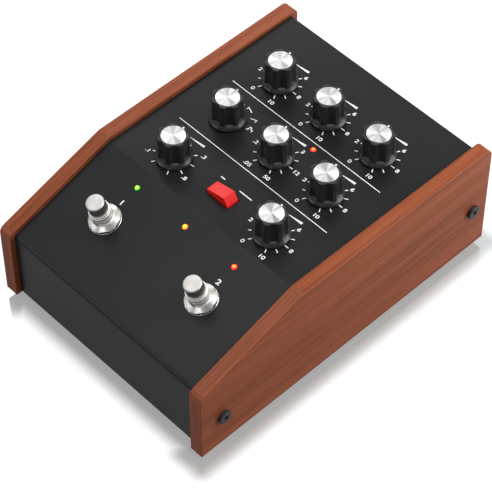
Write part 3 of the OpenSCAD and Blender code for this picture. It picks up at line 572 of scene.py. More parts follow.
def make_dial_tree():
    """Rays of a dial: bars set round an arc, each along its own radius, counted clockwise from +Y."""
    tree, given, result = tree_with("dial_rays", (
        ("Rays", "NodeSocketInt"), ("Sweep", "NodeSocketFloat"),
        ("Inner", "NodeSocketFloat"), ("Outer", "NodeSocketFloat"),
        ("Width", "NodeSocketFloat"), ("Thickness", "NodeSocketFloat"), ("Finish", "NodeSocketMaterial")))
    index = node(tree, "GeometryNodeInputIndex").outputs["Index"]
    gaps = maths(tree, "SUBTRACT", given["Rays"], 1.0)
    share = maths(tree, "SUBTRACT", maths(tree, "DIVIDE", index, gaps), 0.5)
    angle = maths(tree, "MULTIPLY", share, given["Sweep"])
    middle = maths(tree, "MULTIPLY", maths(tree, "ADD", given["Inner"], given["Outer"]), 0.5)
    spot = node(tree, "ShaderNodeCombineXYZ", {
        "X": maths(tree, "MULTIPLY", middle, maths(tree, "SINE", angle)),
        "Y": maths(tree, "MULTIPLY", middle, maths(tree, "COSINE", angle)),
        "Z": maths(tree, "MULTIPLY", given["Thickness"], 0.5)})
    points = node(tree, "GeometryNodePoints", {"Count": given["Rays"], "Position": spot.outputs["Vector"]})
    length = maths(tree, "SUBTRACT", given["Outer"], given["Inner"])
    size = node(tree, "ShaderNodeCombineXYZ", {"X": given["Width"], "Y": length, "Z": given["Thickness"]})
    bar = node(tree, "GeometryNodeMeshCube", {"Size": size.outputs["Vector"]})
    lean = node(tree, "ShaderNodeCombineXYZ", {"Z": maths(tree, "MULTIPLY", angle, -1.0)})
    turn = node(tree, "FunctionNodeEulerToRotation", {"Euler": lean.outputs["Vector"]})
    rays = node(tree, "GeometryNodeInstanceOnPoints", {
        "Points": points.outputs["Points"], "Instance": bar.outputs["Mesh"],
        "Rotation": turn.outputs["Rotation"]})
    end_tree(tree, rays.outputs["Instances"], given["Finish"], result)
    return tree


REPEAT = make_repeat_tree()
DIAL = make_dial_tree()


def grown(name, base, tree, values):
    """Runs a Geometry Nodes tree on a mesh and returns the result as a plain mesh."""
    carrier = carried(name, base)
    modifier = carrier.modifiers.new(name, "NODES")
    modifier.node_group = tree
    for item in tree.interface.items_tree:
        if item.in_out == "INPUT" and item.name in values:
            modifier[item.identifier] = values[item.name]
    carrier.update_tag()
    mesh = baked(carrier)
    mesh.name = name
    return mesh


def repeated(name, unit_mesh, places, material, sharp):
    """One mesh of a unit piece set at places, each a (point, facing) pair in metres."""
    spots = bpy.data.meshes.new(name + "_spots")
    spots.from_pydata([point for point, _ in places], [], [])
    facing = spots.attributes.new("facing", "FLOAT_VECTOR", "POINT")
    for spot, (_, direction) in zip(facing.data, places):
        spot.vector = direction
    unit = carried(name + "_unit", unit_mesh)
    mesh = grown(name, spots, REPEAT, {"Unit": unit, "Finish": material})
    bpy.data.objects.remove(unit)
    crease(mesh, sharp)
    return mesh


def piece_set(name, unit_mesh, places, material, sharp, form):
    """A piece of the case made of equal units, in place of one CAD node."""
    piece(name, repeated(name, unit_mesh, places, material, sharp), material, "case", [form])


# Wooden cheeks


def cheek_outline(inset):
    """Side outline of a cheek, set in by a distance, in millimetres."""
    front, rear = CHEEK_LOW.y / MM + inset, CHEEK_HIGH.y / MM - inset
    low, top = CHEEK_LOW.z / MM + inset, CHEEK_HIGH.z / MM - inset
    knee = BEND_Y - (CHEEK_PROUD - inset) * math.tan(SLOPE / 2)
    nose = top - (knee - front) * math.tan(SLOPE)
    corners = [Vector(c) for c in ((front, low), (rear, low), (rear, top), (knee, top), (front, nose))]
    radii = (CHEEK_CORNER, CHEEK_CORNER, CHEEK_NOSE, CHEEK_KNEE, CHEEK_NOSE)
    return rounded(corners, [radius - inset for radius in radii])


def cheek_mesh(name):
    low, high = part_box(name)
    steps = 6
    rings = []
    sides = ((low.x / MM, 1, range(steps, -1, -1)), (high.x / MM, -1, range(steps + 1)))
    for face, inwards, order in sides:
        for k in order:
            angle = math.pi / 2 * k / steps
            x = face + inwards * CHEEK_EDGE * (1 - math.sin(angle))
            inset = CHEEK_EDGE * (1 - math.cos(angle))
            rings.append([(x, y, z) for y, z in cheek_outline(inset)])
    return flattened(mesh_from(skinned(rings), name + "_form", sharp=40))


def build_cheeks():
    for name in ("left_cheek", "right_cheek"):
        piece("wooden_" + name, cheek_mesh(name), WOOD, "case", [name])


# Sheet metal


def lip_mesh(wall_top):
    """The top panel's front edge, rounded over from the slope to the wall's plane, down to the seam."""
    front, fall = BASE_LOW.y / MM, math.tan(SLOPE)
    edge = PANEL_Z / MM - (BEND_Y - front) * fall
    proud = 0.02
    corners = [Vector(c) for c in (
        (front, wall_top + LIP_SEAM), (front + LIP_BACK, wall_top + LIP_SEAM),
        (front + LIP_BACK, edge + LIP_BACK * fall + proud), (front, edge + proud))]
    outline = rounded(corners, (0.15, 0.05, 0.05, LIP_ROUND), steps=12)
    half = CHEEK_LOW.x / MM
    ends = [[(x, y, z) for y, z in outline] for x in (-half, half)]
    return flattened(mesh_from(skinned(ends), "front_lip", sharp=50))


def build_chassis():
    rear_fold = (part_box("top_panel")[1].y, PANEL_Z)
    front_fold = (BASE_LOW.y, BASE_LOW.z)
    sheets = {
        "top_panel": merged_copy("top_panel", sharp=40, bevel=0.2, corner=rear_fold),
        "rear_panel": merged_copy("rear_panel", sharp=40, bevel=0.15),
        "base_tray": merged_copy("base_tray", sharp=40, bevel=0.2, corner=front_fold),
    }
    for name, mesh in sheets.items():
        piece("coated_" + name, mesh, PAINT, "case", [name])
    wall = [v.co.z for v in frame["nodes"]["base_tray"].data.vertices if v.co.y < BASE_LOW.y + 0.1 * MM]
    piece("coated_front_lip", lip_mesh(max(wall) / MM), PAINT, "case")


# Fasteners and feet


def hexagon(angle, apothem):
    """Distance from the middle of a hexagon to its side, with a corner on +X."""
    return apothem / math.cos(angle % (TURN / 6) - TURN / 12)


def shank(radius, length):
    """Section of a plain shank with an eased end, up to Z 0."""
    return [(0, -length), (radius * 0.8, -length), (radius, -length + radius * 0.3), (radius, 0)]


def socketed(name, profile, socket, bottom, sharp):
    """A turned screw whose socket points are drawn out to a hexagon."""

    def shape(angle, radius, height):
        return (hexagon(angle, radius), height) if (radius, height) in socket else (radius, height)

    bm = turned(profile + socket + [(0, bottom)], steps=72, shape=shape)
    return mesh_from(bm, name, sharp=sharp)


def button_screw(head_r, head_h, key, shank_r, shank_l):
    """A domed head with a hexagon socket on a plain shank, head up from Z 0."""
    dome_r = (head_r ** 2 + head_h ** 2) / (2 * head_h)
    apothem, deep, mouth = key / 2, head_h * 0.62, key * 0.72
    angle_max = math.asin(head_r / dome_r)
    angle_min = math.asin(mouth / dome_r)
    profile = shank(shank_r, shank_l) + [(head_r * 0.97, 0)]
    for k in range(9):
        angle = angle_max + (angle_min - angle_max) * k / 8
        profile.append((dome_r * math.sin(angle), head_h - dome_r + dome_r * math.cos(angle)))
    top = profile[-1][1]
    socket = [(apothem * 1.06, top - 0.02), (apothem, top - 0.12), (apothem, top - deep)]
    return socketed("button_screw", profile, socket, top - deep - apothem * 0.4, 30)


def cap_screw(head_r, head_h, key, shank_r, shank_l):
    """A low cylindrical head, its rim eased, with a hexagon socket on a plain shank, head up from Z 0."""
    apothem, floor, ease = key / 2, head_h * 0.35, 0.3
    profile = shank(shank_r, shank_l) + [(head_r - 0.1, 0), (head_r, 0.1)]
    profile += rim(head_r, head_h, ease, 4) + [(apothem * 1.2, head_h)]
    socket = [(apothem * 1.05, head_h - 0.15), (apothem, head_h - 0.2), (apothem, floor)]
    return socketed("cap_screw", profile, socket, floor - apothem * 0.3, 40)


def washer(outer, inner, thick, ease):
    profile = [(inner, 0), (outer - ease, 0), (outer, ease)]
    profile += [(outer, thick - ease), (outer - ease, thick), (inner, thick)]
    return mesh_from(turned(profile, loop=True), "washer", sharp=50)


def toothed_washer(outer, inner, thick):
    """Lock washer: a ring with teeth cut all round its rim."""

    def shape(angle, radius, height):
        cut = TOOTH_DEEP * max(0.0, math.cos(angle * LOCK_TEETH)) if radius == outer else 0.0
        return radius - cut, height

    profile = [(inner, 0), (outer, 0.08), (outer, thick - 0.08), (inner, thick)]
    return mesh_from(turned(profile, steps=192, shape=shape, loop=True), "lock_washer", sharp=50)


def crowned_nut():
    """Hexagon nut turned to a cone from its crown down to its corners."""
    half = NUT_FLATS / 2
    slope = math.tan(math.radians(CROWN_DEG))

    def shape(angle, radius, height):
        if radius != half:
            return radius, height
        side = min(hexagon(angle - math.radians(NUT_TURN), half), CROWN_R + (NUT_T - 0.15) / slope)
        return side, min(height, NUT_T - (side - CROWN_R) * slope)

    profile = [(NUT_BORE, 0.1), (NUT_BORE + 0.1, 0), (half - 0.2, 0), (half, 0), (half, NUT_T)]
    profile += [(CROWN_R + 1, NUT_T - slope), (CROWN_R, NUT_T), (NUT_BORE, NUT_T - 0.05)]
    return mesh_from(turned(profile, steps=144, shape=shape, loop=True), "crowned_nut", sharp=40)


def foot_mesh(height):
    return mesh_from(turned([*FOOT_SECTION, (FOOT_R, height), (0, height)]), "rubber_foot", sharp=30)


def cheek_screw_places():
    """Points on the outer faces of the cheeks where the screws of the frame stand."""
    low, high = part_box("cheek_screws")
    reach = CHEEK_SCREW_R * MM
    front, rear = low.y + reach, high.y - reach
    lower, upper = low.z + reach, high.z - reach
    spots = ((front, lower), (rear, upper))
    return [((side * CHEEK_HIGH.x, y, z), (side, 0, 0)) for side in (-1, 1) for y, z in spots]


def corner_places(node_name, reach, facing, y=None, z=None):
    """Four corners of a node's box, drawn in by the reach of its pieces."""
    low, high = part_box(node_name)
    xs = (low.x + reach, high.x - reach)
    ys = (y,) if y is not None else (low.y + reach, high.y - reach)
    zs = (z,) if z is not None else (low.z + reach, high.z - reach)
    return [((a, b, c), facing) for a in xs for b in ys for c in zs]


def build_fasteners():
    head_h = (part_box("cheek_screws")[1].x - CHEEK_HIGH.x) / MM
    cheek_screw = cap_screw(CHEEK_SCREW_R, head_h, CHEEK_SCREW_KEY, CHEEK_SHANK_R, CHEEK_SHANK_L)
    cheek_places = cheek_screw_places()
    rear_screw = button_screw(REAR_SCREW_R, REAR_SCREW_H, REAR_SCREW_KEY, REAR_SHANK_R, REAR_SHANK_L)
    rear_places = corner_places("rear_screws", REAR_SCREW_R * MM, (0, 1, 0), y=BASE_HIGH.y)
    foot = foot_mesh(BASE_LOW.z / MM)
    foot_places = corner_places("rubber_feet", FOOT_R * MM, (0, 0, 1), z=0)
    piece_set("cap_screws", cheek_screw, cheek_places, BLACK_STEEL, 40, "cheek_screws")
    piece_set("rear_button_screws", rear_screw, rear_places, BLACK_STEEL, 30, "rear_screws")
    piece_set("rubber_feet_set", foot, foot_places, RUBBER, 30, "rubber_feet")


# Knobs


def fluted(angle, radius):
    """Radius with the flutes taken out, a land at the pointer, and the edges softly rounded."""
    period = TURN / FLUTES
    off = (angle - TURN / 4) % period - period / 2
    centre = FLUTE_FLOOR + FLUTE_R
    reach = FLUTE_R ** 2 - (centre * math.sin(off)) ** 2
    if reach <= 0:
        return radius
    wall = centre * math.cos(off) - math.sqrt(reach)
    near = max(FLUTE_EDGE - abs(radius - wall), 0) / FLUTE_EDGE
    return min(radius, wall) - near * near * FLUTE_EDGE / 4


def body_radius(height):
    """Radius of the tapering body at its lands."""
    share = (height - SKIRT_EDGE) / (KNOB_H - RIM_EASE - SKIRT_EDGE)
    return BODY_R + (RIM_R - BODY_R) * min(max(share, 0), 1)


def cone_height(radius):
    """Height of the skirt's cone at a radius, level inside its top edge."""
    share = (SKIRT_R - radius) / (SKIRT_R - CONE_TOP_R)
    return SKIRT_EDGE + (SKIRT_H - SKIRT_EDGE) * min(share, 1)


def knob_profile():
    """Section of a knob from its bore, under the skirt, up its cone and the body and over the rim."""
    floor = KNOB_H + DISC_PROUD - DISC_T
    recess = DISC_R + 0.1
    profile = [(0, SHAFT_H), (SHAFT_R, SHAFT_H), (SHAFT_R, CAVITY_H)]
    profile += [(CAVITY_R, CAVITY_H), (CAVITY_R, KNOB_GAP)]
    profile += [(SKIRT_R - 0.25, KNOB_GAP), (SKIRT_R, KNOB_GAP + 0.25), (SKIRT_R, SKIRT_EDGE - 0.3)]
    profile += [(SKIRT_R - 0.05, SKIRT_EDGE - 0.08), (SKIRT_R - 0.2, SKIRT_EDGE + 0.14)]
    for k in range(5):
        angle = TURN / 4 * k / 4
        height = SKIRT_H + FOOT_EASE * (1 - math.cos(angle))
        profile.append((body_radius(height) + FOOT_EASE * (1 - math.sin(angle)), height))
    top = KNOB_H - RIM_EASE
    profile += [(body_radius(z), z) for z in (SKIRT_H + 2, SKIRT_H + 5, SKIRT_H + 8, top)]
    profile += rim(RIM_R, KNOB_H, RIM_EASE, 4, first=1)
    return profile + [(recess + 0.1, KNOB_H), (recess, KNOB_H - 0.1), (recess, floor), (0, floor)]


def knob_shape(angle, radius, height):
    """The flutes run from the skirt's cone to the rim, and the rounded foot and rim follow them."""
    if height < SKIRT_H or radius < DISC_R + 0.3:
        return radius, height
    land = body_radius(height)
    cut = fluted(angle, land)
    if height <= SKIRT_H + FOOT_EASE:
        height += cone_height(cut + FOOT_EASE) - SKIRT_H
    return cut + radius - land, height


def polar_map(mesh, reach):
    """UV map whose U runs round the axis and V out from it, in units of the reach, for turning marks."""
    layer = mesh.uv_layers.new(name="turning")
    for polygon in mesh.polygons:
        middle = math.atan2(polygon.center.y, polygon.center.x)
        for loop in polygon.loop_indices:
            x, y, _ = mesh.vertices[mesh.loops[loop].vertex_index].co
            angle = math.atan2(y, x) if math.hypot(x, y) > 1e-7 else middle
            angle += TURN * round((middle - angle) / TURN)
            layer.data[loop].uv = (angle / TURN, math.hypot(x, y) / (reach * MM))


def disc_mesh():
    top = KNOB_H + DISC_PROUD
    profile = [(0, top - DISC_T), (DISC_R, top - DISC_T), (DISC_R, top - 0.15), (DISC_R - 0.15, top)]
    profile += flat_top(DISC_R, top)
    mesh = mesh_from(turned(profile, steps=128), "spun_disc", sharp=30)
    polar_map(mesh, DISC_R)
    return mesh


def pointer_mesh():
    """White inlay in the pointer groove of the rim."""
    bm = bmesh.new()
    inner, outer = DISC_R + 0.12, DISC_R + POINTER_L
    low, top = KNOB_H - POINTER_DEEP, KNOB_H + 0.04
    middle = Vector((0, (inner + outer) / 2, (low + top) / 2))
    size = Vector((POINTER_W, outer - inner, top - low))
    bmesh.ops.create_cube(bm, size=1, matrix=Matrix.LocRotScale(middle, None, size))
    bmesh.ops.bevel(bm, geom=bm.edges[:], offset=0.06, segments=2, profile=0.5, affect="EDGES")
    return mesh_from(bm, "pointer_inlay", sharp=40)


def build_knobs():
    knob = mesh_from(turned(knob_profile(), steps=336, shape=knob_shape), "fluted_knob", sharp=50)
    disc = disc_mesh()
    pointer = pointer_mesh()
    for name in KNOBS:
        body = name + "_control"
        place = knob_place(name)
        piece(name + "_fluted_knob", placed(knob.copy(), place), KNOB_PLASTIC, body,
              [name + "_knob"])
        piece(name + "_spun_disc", placed(disc.copy(), place), SPUN, body,
              [name + "_disc"])
        piece(name + "_pointer", placed(pointer.copy(), place), INK, body)


# Rocker and lamps


def build_rocker():
    rocker = merged_copy("range_rocker", sharp=15, bevel=0.3, segments=3)
    piece("red_rocker", rocker, RED_PLASTIC, "rocker", ["range_rocker"])


def lamp_mesh():
    """Domed lens with a flange, its core attribute 1 at the middle of the dome and 0 at its rim."""
    foot, flange_r = LENS_PROUD - LENS_L, LENS_R + LENS_FLANGE
    profile = [(0, foot), (flange_r, foot), (flange_r, foot + 1), (LENS_R, foot + 1)]
    profile += rim(LENS_R, LENS_PROUD, LENS_R, 12)
    mesh = mesh_from(turned(profile, steps=48), "lamp_lens", sharp=40)
    core = mesh.attributes.new("core", "FLOAT", "POINT")
    for vertex, heat in zip(mesh.vertices, core.data):
        off_axis = math.hypot(vertex.co.x, vertex.co.y) / (LENS_R * MM)
        heat.value = max(0.0, 1 - off_axis) if vertex.co.z > 0 else 0.0
    return mesh


def build_lamps():
    lens = lamp_mesh()
    low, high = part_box("rate_lamp")
    middle = (low + high) / 2
    places = {
        "rate": (panel_place(middle.x, middle.y), LAMP_RED, "lamp_red"),
        "time": (slope_place(-COLUMN, LAMP_S * MM), LAMP_GREEN, "lamp_green"),
        "level": (slope_place(0, LAMP_S * MM), LAMP_AMBER, "lamp_amber"),
        "bypass": (slope_place(COLUMN, LAMP_S * MM), LAMP_RED, "lamp_red"),
    }
    for name, (place, material, slot) in places.items():
        piece(name + "_lens", placed(lens.copy(), place), material, "case", [name + "_lamp"])


# Footswitches


def plunger_mesh():
    profile = [(0, PLUNGER_LOW), (PLUNGER_R, PLUNGER_LOW), (PLUNGER_R, PLUNGER_H - PLUNGER_EDGE)]
    profile += rim(PLUNGER_R, PLUNGER_H, PLUNGER_EDGE, 8, first=1)
    profile += flat_top(PLUNGER_R - PLUNGER_EDGE, PLUNGER_H)
    mesh = mesh_from(turned(profile, steps=128), "plunger", sharp=40)
    polar_map(mesh, PLUNGER_R)
    return mesh


def bush_mesh():
    """Tube round the plunger: a flatted thread, a shoulder with one cut and a collar above a groove."""
    profile = [(BUSH_BORE, BUSH_FOOT), (BUSH_R - THREAD_DEEP, BUSH_FOOT)]
    for k in range(int(THREAD_TOP / THREAD_PITCH)):
        foot = k * THREAD_PITCH
        profile += [(BUSH_R - THREAD_DEEP, foot), (BUSH_R, foot + THREAD_PITCH * 0.45)]
        profile += [(BUSH_R, foot + THREAD_PITCH * 0.55)]
    cut = THREAD_TOP + SHOULDER_H
    profile += [(BUSH_R - THREAD_DEEP, THREAD_TOP), (BUSH_R, THREAD_TOP + 0.1), (BUSH_R, cut)]
    profile += [(BUSH_R - SHOULDER_CUT, cut + 0.1), (BUSH_R - SHOULDER_CUT, cut + 0.45)]
    profile += [(BUSH_R, cut + 0.55), (BUSH_R, BUSH_H - 0.3)]
    profile += [(BUSH_R - 0.2, BUSH_H - 0.1), (GROOVE_R, BUSH_H), (GROOVE_R, BUSH_H + GROOVE_H)]
    top = BUSH_H + COLLAR_H
    profile += [(COLLAR_R, BUSH_H + GROOVE_H), (COLLAR_R, top - 0.2), (COLLAR_R - 0.2, top)]
    profile += [(BUSH_BORE + 0.15, top), (BUSH_BORE, top - 0.15)]

    def shape(angle, radius, height):
        if radius <= BUSH_BORE + 0.2 or height < 0 or height > THREAD_TOP:
            return radius, height
        front = -math.sin(angle)
        return min(radius, BUSH_FLAT / front) if front > 0.5 else radius, height

    return mesh_from(turned(profile, steps=128, shape=shape, loop=True), "threaded_bush", sharp=30)


def build_footswitches():
    spots = {"tap": slope_place(-COLUMN, FOOT_S * MM), "bypass": slope_place(COLUMN, FOOT_S * MM)}
    plunger = plunger_mesh()
    for name, place in spots.items():
        piece(name + "_button_cap", placed(plunger.copy(), place), TURNED, name + "_button",
              [name + "_plunger"])
    flat_washer = washer(WASHER_R, NUT_BORE, WASHER_T, 0.15)
    lock_washer = toothed_washer(LOCK_R, NUT_BORE, LOCK_T)
    nut_up = WASHER_T + LOCK_T
    sets = (
        ("threaded_bushes", bush_mesh(), 0.0, BUSH_NICKEL_PAINTED_LIGHT, "nickel", "footswitch_bodies"),
        ("flat_washer_pair", flat_washer, 0.0, NICKEL, "nickel", "flat_washers"),
        ("lock_washer_pair", lock_washer, WASHER_T, BLACK_STEEL, "black_steel", "lock_washers"),
        ("footswitch_nut_pair", crowned_nut(), nut_up, NICKEL, "nickel", "footswitch_nuts"),
    )
    for name, unit, height, material, slot, form in sets:
        places = [(place @ Vector((0, 0, height * MM)), SLOPE_NORMAL) for place in spots.values()]
        piece_set(name, unit, places, material, 30, form)


# Rear sockets


def build_sockets():
    rows = (
        ("socket_bodies", "jack_sockets", 0.0, BLACK_PLASTIC, "black_plastic"),
        ("socket_nuts", "jack_nuts", 0.15, NICKEL, "nickel"),
        ("power_socket", "power_inlet", 0.0, BLACK_PLASTIC, "black_plastic"),
    )
    for name, form, bevel, material, slot in rows:
        piece(name, merged_copy(form, bevel=bevel), material, "case", [form])


# Printed marks

# Numbers round the dials: the angle and the distance from the knob's axis
TEN_SCALE = {
    "0": (-151, 15.1), "2": (-92, 14.4), "4": (-31.5, 14.6),
    "6": (31.5, 14.6), "8": (91.5, 14.7), "10": (152, 15.3),
}
RATE_SCALE = {
    ".05": (-154, 15.5), ".2": (-91, 14.6), ".8": (-32, 14.8),
    "3": (31.8, 14.6), "12": (91, 15.8), "50": (152, 15.5),
}
TIME_SCALE = {".1": (-114.6, 14.9), ".2": (-43, 15.6), ".3": (43, 15.6), ".8": (112.5, 15.4)}
SCALES = {"rate": RATE_SCALE, "time": TIME_SCALE}
TIME_RAYS, TEN_RAYS = 9, 11

# Waveforms round the selector, by angle: strokes in units of half a sign
WAVE_R = 13.6
WAVES = {
    -75: [(-1, 0), (-0.5, 0.9), (0, 0), (0.5, -0.9), (1, 0)],
    -45: [(-1, -0.6), (-0.33, 0.6), (0.33, -0.6), (1, 0.6)],
    -15: [(-1, -0.6), (-1, 0.6), (0, 0.6), (0, -0.6), (1, -0.6), (1, 0.6)],
    15: [(-1, -0.5), (-1, 0.6), (1, -0.5)],
    45: [(-1, -0.4), (1, 0.5), (1, -0.6)],
    75: [(-1, -0.7), (-0.4, -0.7), (-0.4, 0.8), (0.2, 0.8), (0.2, 0.1), (1, 0.1), (1, -0.7)],
}
WAVE_HALF, WAVE_TALL, WAVE_W = 1.9, 1.5, 0.5


def ribbon(points, width):
    """A printed stroke along a line of points, mitred at its bends, as a thin closed plate."""
    spots = [Vector(p) for p in points]
    left, right = [], []
    for i, spot in enumerate(spots):
        before = (spot - spots[i - 1]).normalized() if i else None
        after = (spots[i + 1] - spot).normalized() if i + 1 < len(spots) else None
        along = ((before or after) + (after or before)).normalized()
        normal = Vector((-along.y, along.x))
        edge = Vector((-(before or after).y, (before or after).x))
        reach = width / 2 / max(0.45, normal.dot(edge))
        left.append(spot + normal * reach)
        right.append(spot - normal * reach)
    return inked("stroke", right + left[::-1])


def inked(name, outline):
    """A thin plate of ink with this outline."""
    return mesh_from(skinned([[(p.x, p.y, z) for p in outline] for z in (0, INK_T)]), name)


def wedge(length, height):
    """Rising wedge: the plain sign for less to more."""
    half = length / 2
    return inked("wedge", [Vector((-half, 0)), Vector((half, 0)), Vector((half, height))])


def number_mesh(body, height):
    """A plain number as a thin mesh, centred on its own middle, in metres."""
    words = bpy.data.curves.new("number", "FONT")
    words.body = body
    words.size = 1.0
    words.extrude = GLYPH_T / 2
    words.offset = GLYPH_BOLD
    words.align_x = "CENTER"
    words.align_y = "CENTER"
    mesh = baked(carried("number", words))
    size = height * MM / GLYPH_TALL
    corners = [v.co for v in mesh.vertices]
    middle = Vector([(min(c[k] for c in corners) + max(c[k] for c in corners)) / 2 for k in range(3)])
    scale = Matrix.Diagonal((size * GLYPH_WIDE, size, INK_T * MM / GLYPH_T, 1))
    mesh.transform(scale @ Matrix.Translation(-middle))
    mesh.transform(Matrix.Translation((0, 0, INK_T * MM / 2)))
    return mesh


def clock(angle, radius):
    """Point at an angle clockwise from +Y."""
    return Vector((radius * math.sin(math.radians(angle)), radius * math.cos(math.radians(angle))))


def build_print():
    marks = []

    def mark(mesh, place, spot=(0, 0)):
        marks.append(placed(mesh, place @ Matrix.Translation((spot[0] * MM, spot[1] * MM, 0))))

    for name in KNOBS:
        place = knob_place(name)
        if name == "wave":
            for angle, points in WAVES.items():
                stroke = ribbon([(x * WAVE_HALF, y * WAVE_TALL) for x, y in points], WAVE_W)
                mark(stroke, place, clock(angle, WAVE_R))
            continue
        rays = TIME_RAYS if name == "time" else TEN_RAYS
        dial = grown("dial_" + name, bpy.data.meshes.new("dial_seed"), DIAL, {
            "Rays": rays, "Sweep": math.radians(TICK_SWEEP), "Inner": TICK_IN * MM, "Outer": TICK_OUT * MM,
            "Width": TICK_W * MM, "Thickness": INK_T * MM, "Finish": INK})
        mark(dial, place)
        for body, (angle, radius) in SCALES.get(name, TEN_SCALE).items():
            mark(number_mesh(body, NUMBER_H), place, clock(angle, radius))
        mark(wedge(WEDGE_L, WEDGE_H), place, (0, WEDGE_OUT))
    panel = panel_place(0, 0)
    for y in LINE_YS:
        mark(ribbon([(-LINE_HALF, y), (LINE_HALF, y)], LINE_W), panel)
    bar_y = TIME_ROW_Y / MM + BAR_OUT
    for x, length in BARS:
        mark(ribbon([(x - length / 2, bar_y), (x + length / 2, bar_y)], BAR_W), panel)
    for body, x in (("1", -COLUMN), ("2", COLUMN)):
        mark(number_mesh(body, FOOT_NUMBER_H), slope_place(x, (FOOT_S - FOOT_NUMBER_UP) * MM))
    piece("printed_marks", joined("printed_marks", marks), INK, "case")


# Pieces inside the case keep their CAD form


def finish_inside():
    shafts = [name + "_shaft" for name in KNOBS]
    inside = {
        STEEL: ["cheek_nuts", "board_spacers", "board_screws", "pot_bodies", "bush_nuts"] + shafts,
        BLACK_PLASTIC: ["selector_body", "rocker_frame", "delay_chips"],
        BOARD: ["control_board", "lamp_board", "main_board"],
        BRASS: ["inlet_pin"], SLEEVE: ["capacitors"], RIBBON: ["ribbon_cable"],
    }
    for material, names in inside.items():
        for name in names:
            coat(frame["nodes"][name].data, material)


# Stage

# Light levels: 1 is a white surface shown as white
SKY_FILL, SKY_SEEN, SKY_DARK = 0.30, 0.75, 0.20
FLOOR_GLOW, FLOOR_MIRRORED, FLOOR_BEHIND, FLOOR_BOUNCE = 0.88, 0.20, 1.0, 0.18

# The sky: the tint of its fill, and the side it mirrors dark with the cosines between which it darkens
SKY_TINT = (0.98, 0.99, 1.0, 1)
DARK_SIDE, DARK_FROM, DARK_TO = (0.72, -0.69, 0.0), -0.1, 0.6

# The floor: its grey, its reach and where behind the part its mirrored glow grows, in metres
FLOOR_GREY, FLOOR_HALF, FLOOR_GROWS = 0.24, 4.0, (0.02, 0.10)

# The floor's mirror: its share and tint, and how far in millimetres it holds and then fades
MIRROR_SHARE, MIRROR_NEAR, MIRROR_FAR = 0.62, 2.4, 11.0
MIRROR_TINT = (0.45, 0.52, 0.54, 1)

# Area lights: place and aim in metres, width and height, power in watts
MIDDLE = (0, 0, 0.05)
LIGHTS = {
    "left_key": ((-1.2, 0.3, 1.0), MIDDLE, (0.8, 0.8), 3.0),
    "overhead": ((0.0, 0.0, 1.6), MIDDLE, (1.6, 1.2), 12.0),
    "rear_right_fill": ((0.44, 0.38, 0.33), MIDDLE, (0.4, 0.4), 3.3),
    "front_left_fill": ((-0.55, -0.92, 0.50), MIDDLE, (0.34, 0.34), 1.4),
    "front_glow": ((0.26, -1.00, 0.52), MIDDLE, (0.60, 0.22), 1.0),
    "near_left_glow": ((-0.585, 0.60, 0.40), (-0.585, 0.60, 0), (0.62, 0.8), 1.8),
}


def seen_rays(tree):
    """1 for the rays by which the background itself is seen: straight, mirrored or through glass."""
    path = node(tree, "ShaderNodeLightPath").outputs
    mirrored = maths(tree, "MAXIMUM", path["Is Camera Ray"], path["Is Glossy Ray"])
    return maths(tree, "MAXIMUM", mirrored, path["Is Transmission Ray"])


def box_gap(tree, place, middle, half_x, half_y):
    """Distance on the floor from the nearer of two upright boxes, one each side of the middle plane."""
    x, y = maths(tree, "ABSOLUTE", place["X"]), maths(tree, "ABSOLUTE", place["Y"])
    off = maths(tree, "ABSOLUTE", maths(tree, "SUBTRACT", x, middle))
    gap_x = maths(tree, "MAXIMUM", maths(tree, "SUBTRACT", off, half_x))
    gap_y = maths(tree, "MAXIMUM", maths(tree, "SUBTRACT", y, half_y))
    gap = node(tree, "ShaderNodeCombineXYZ", {"X": gap_x, "Y": gap_y}).outputs["Vector"]
    return node(tree, "ShaderNodeVectorMath", {0: gap}, operation="LENGTH").outputs["Value"]


def near_case(tree, place):
    """Share of the floor's mirror: full beside the case and the cheeks, none a short way out."""
    near = MIRROR_NEAR * MM
    middle, half = (CHEEK_LOW.x + CHEEK_HIGH.x) / 2, (CHEEK_HIGH.x - CHEEK_LOW.x) / 2
    case = box_gap(tree, place, 0.0, CHEEK_LOW.x, BASE_HIGH.y + near)
    cheeks = box_gap(tree, place, middle, half + near, CHEEK_HIGH.y + near)
    out = maths(tree, "MINIMUM", case, cheeks)
    return spread(tree, out, MIRROR_SHARE, 0.0, end=MIRROR_FAR * MM, kind="SMOOTHSTEP")


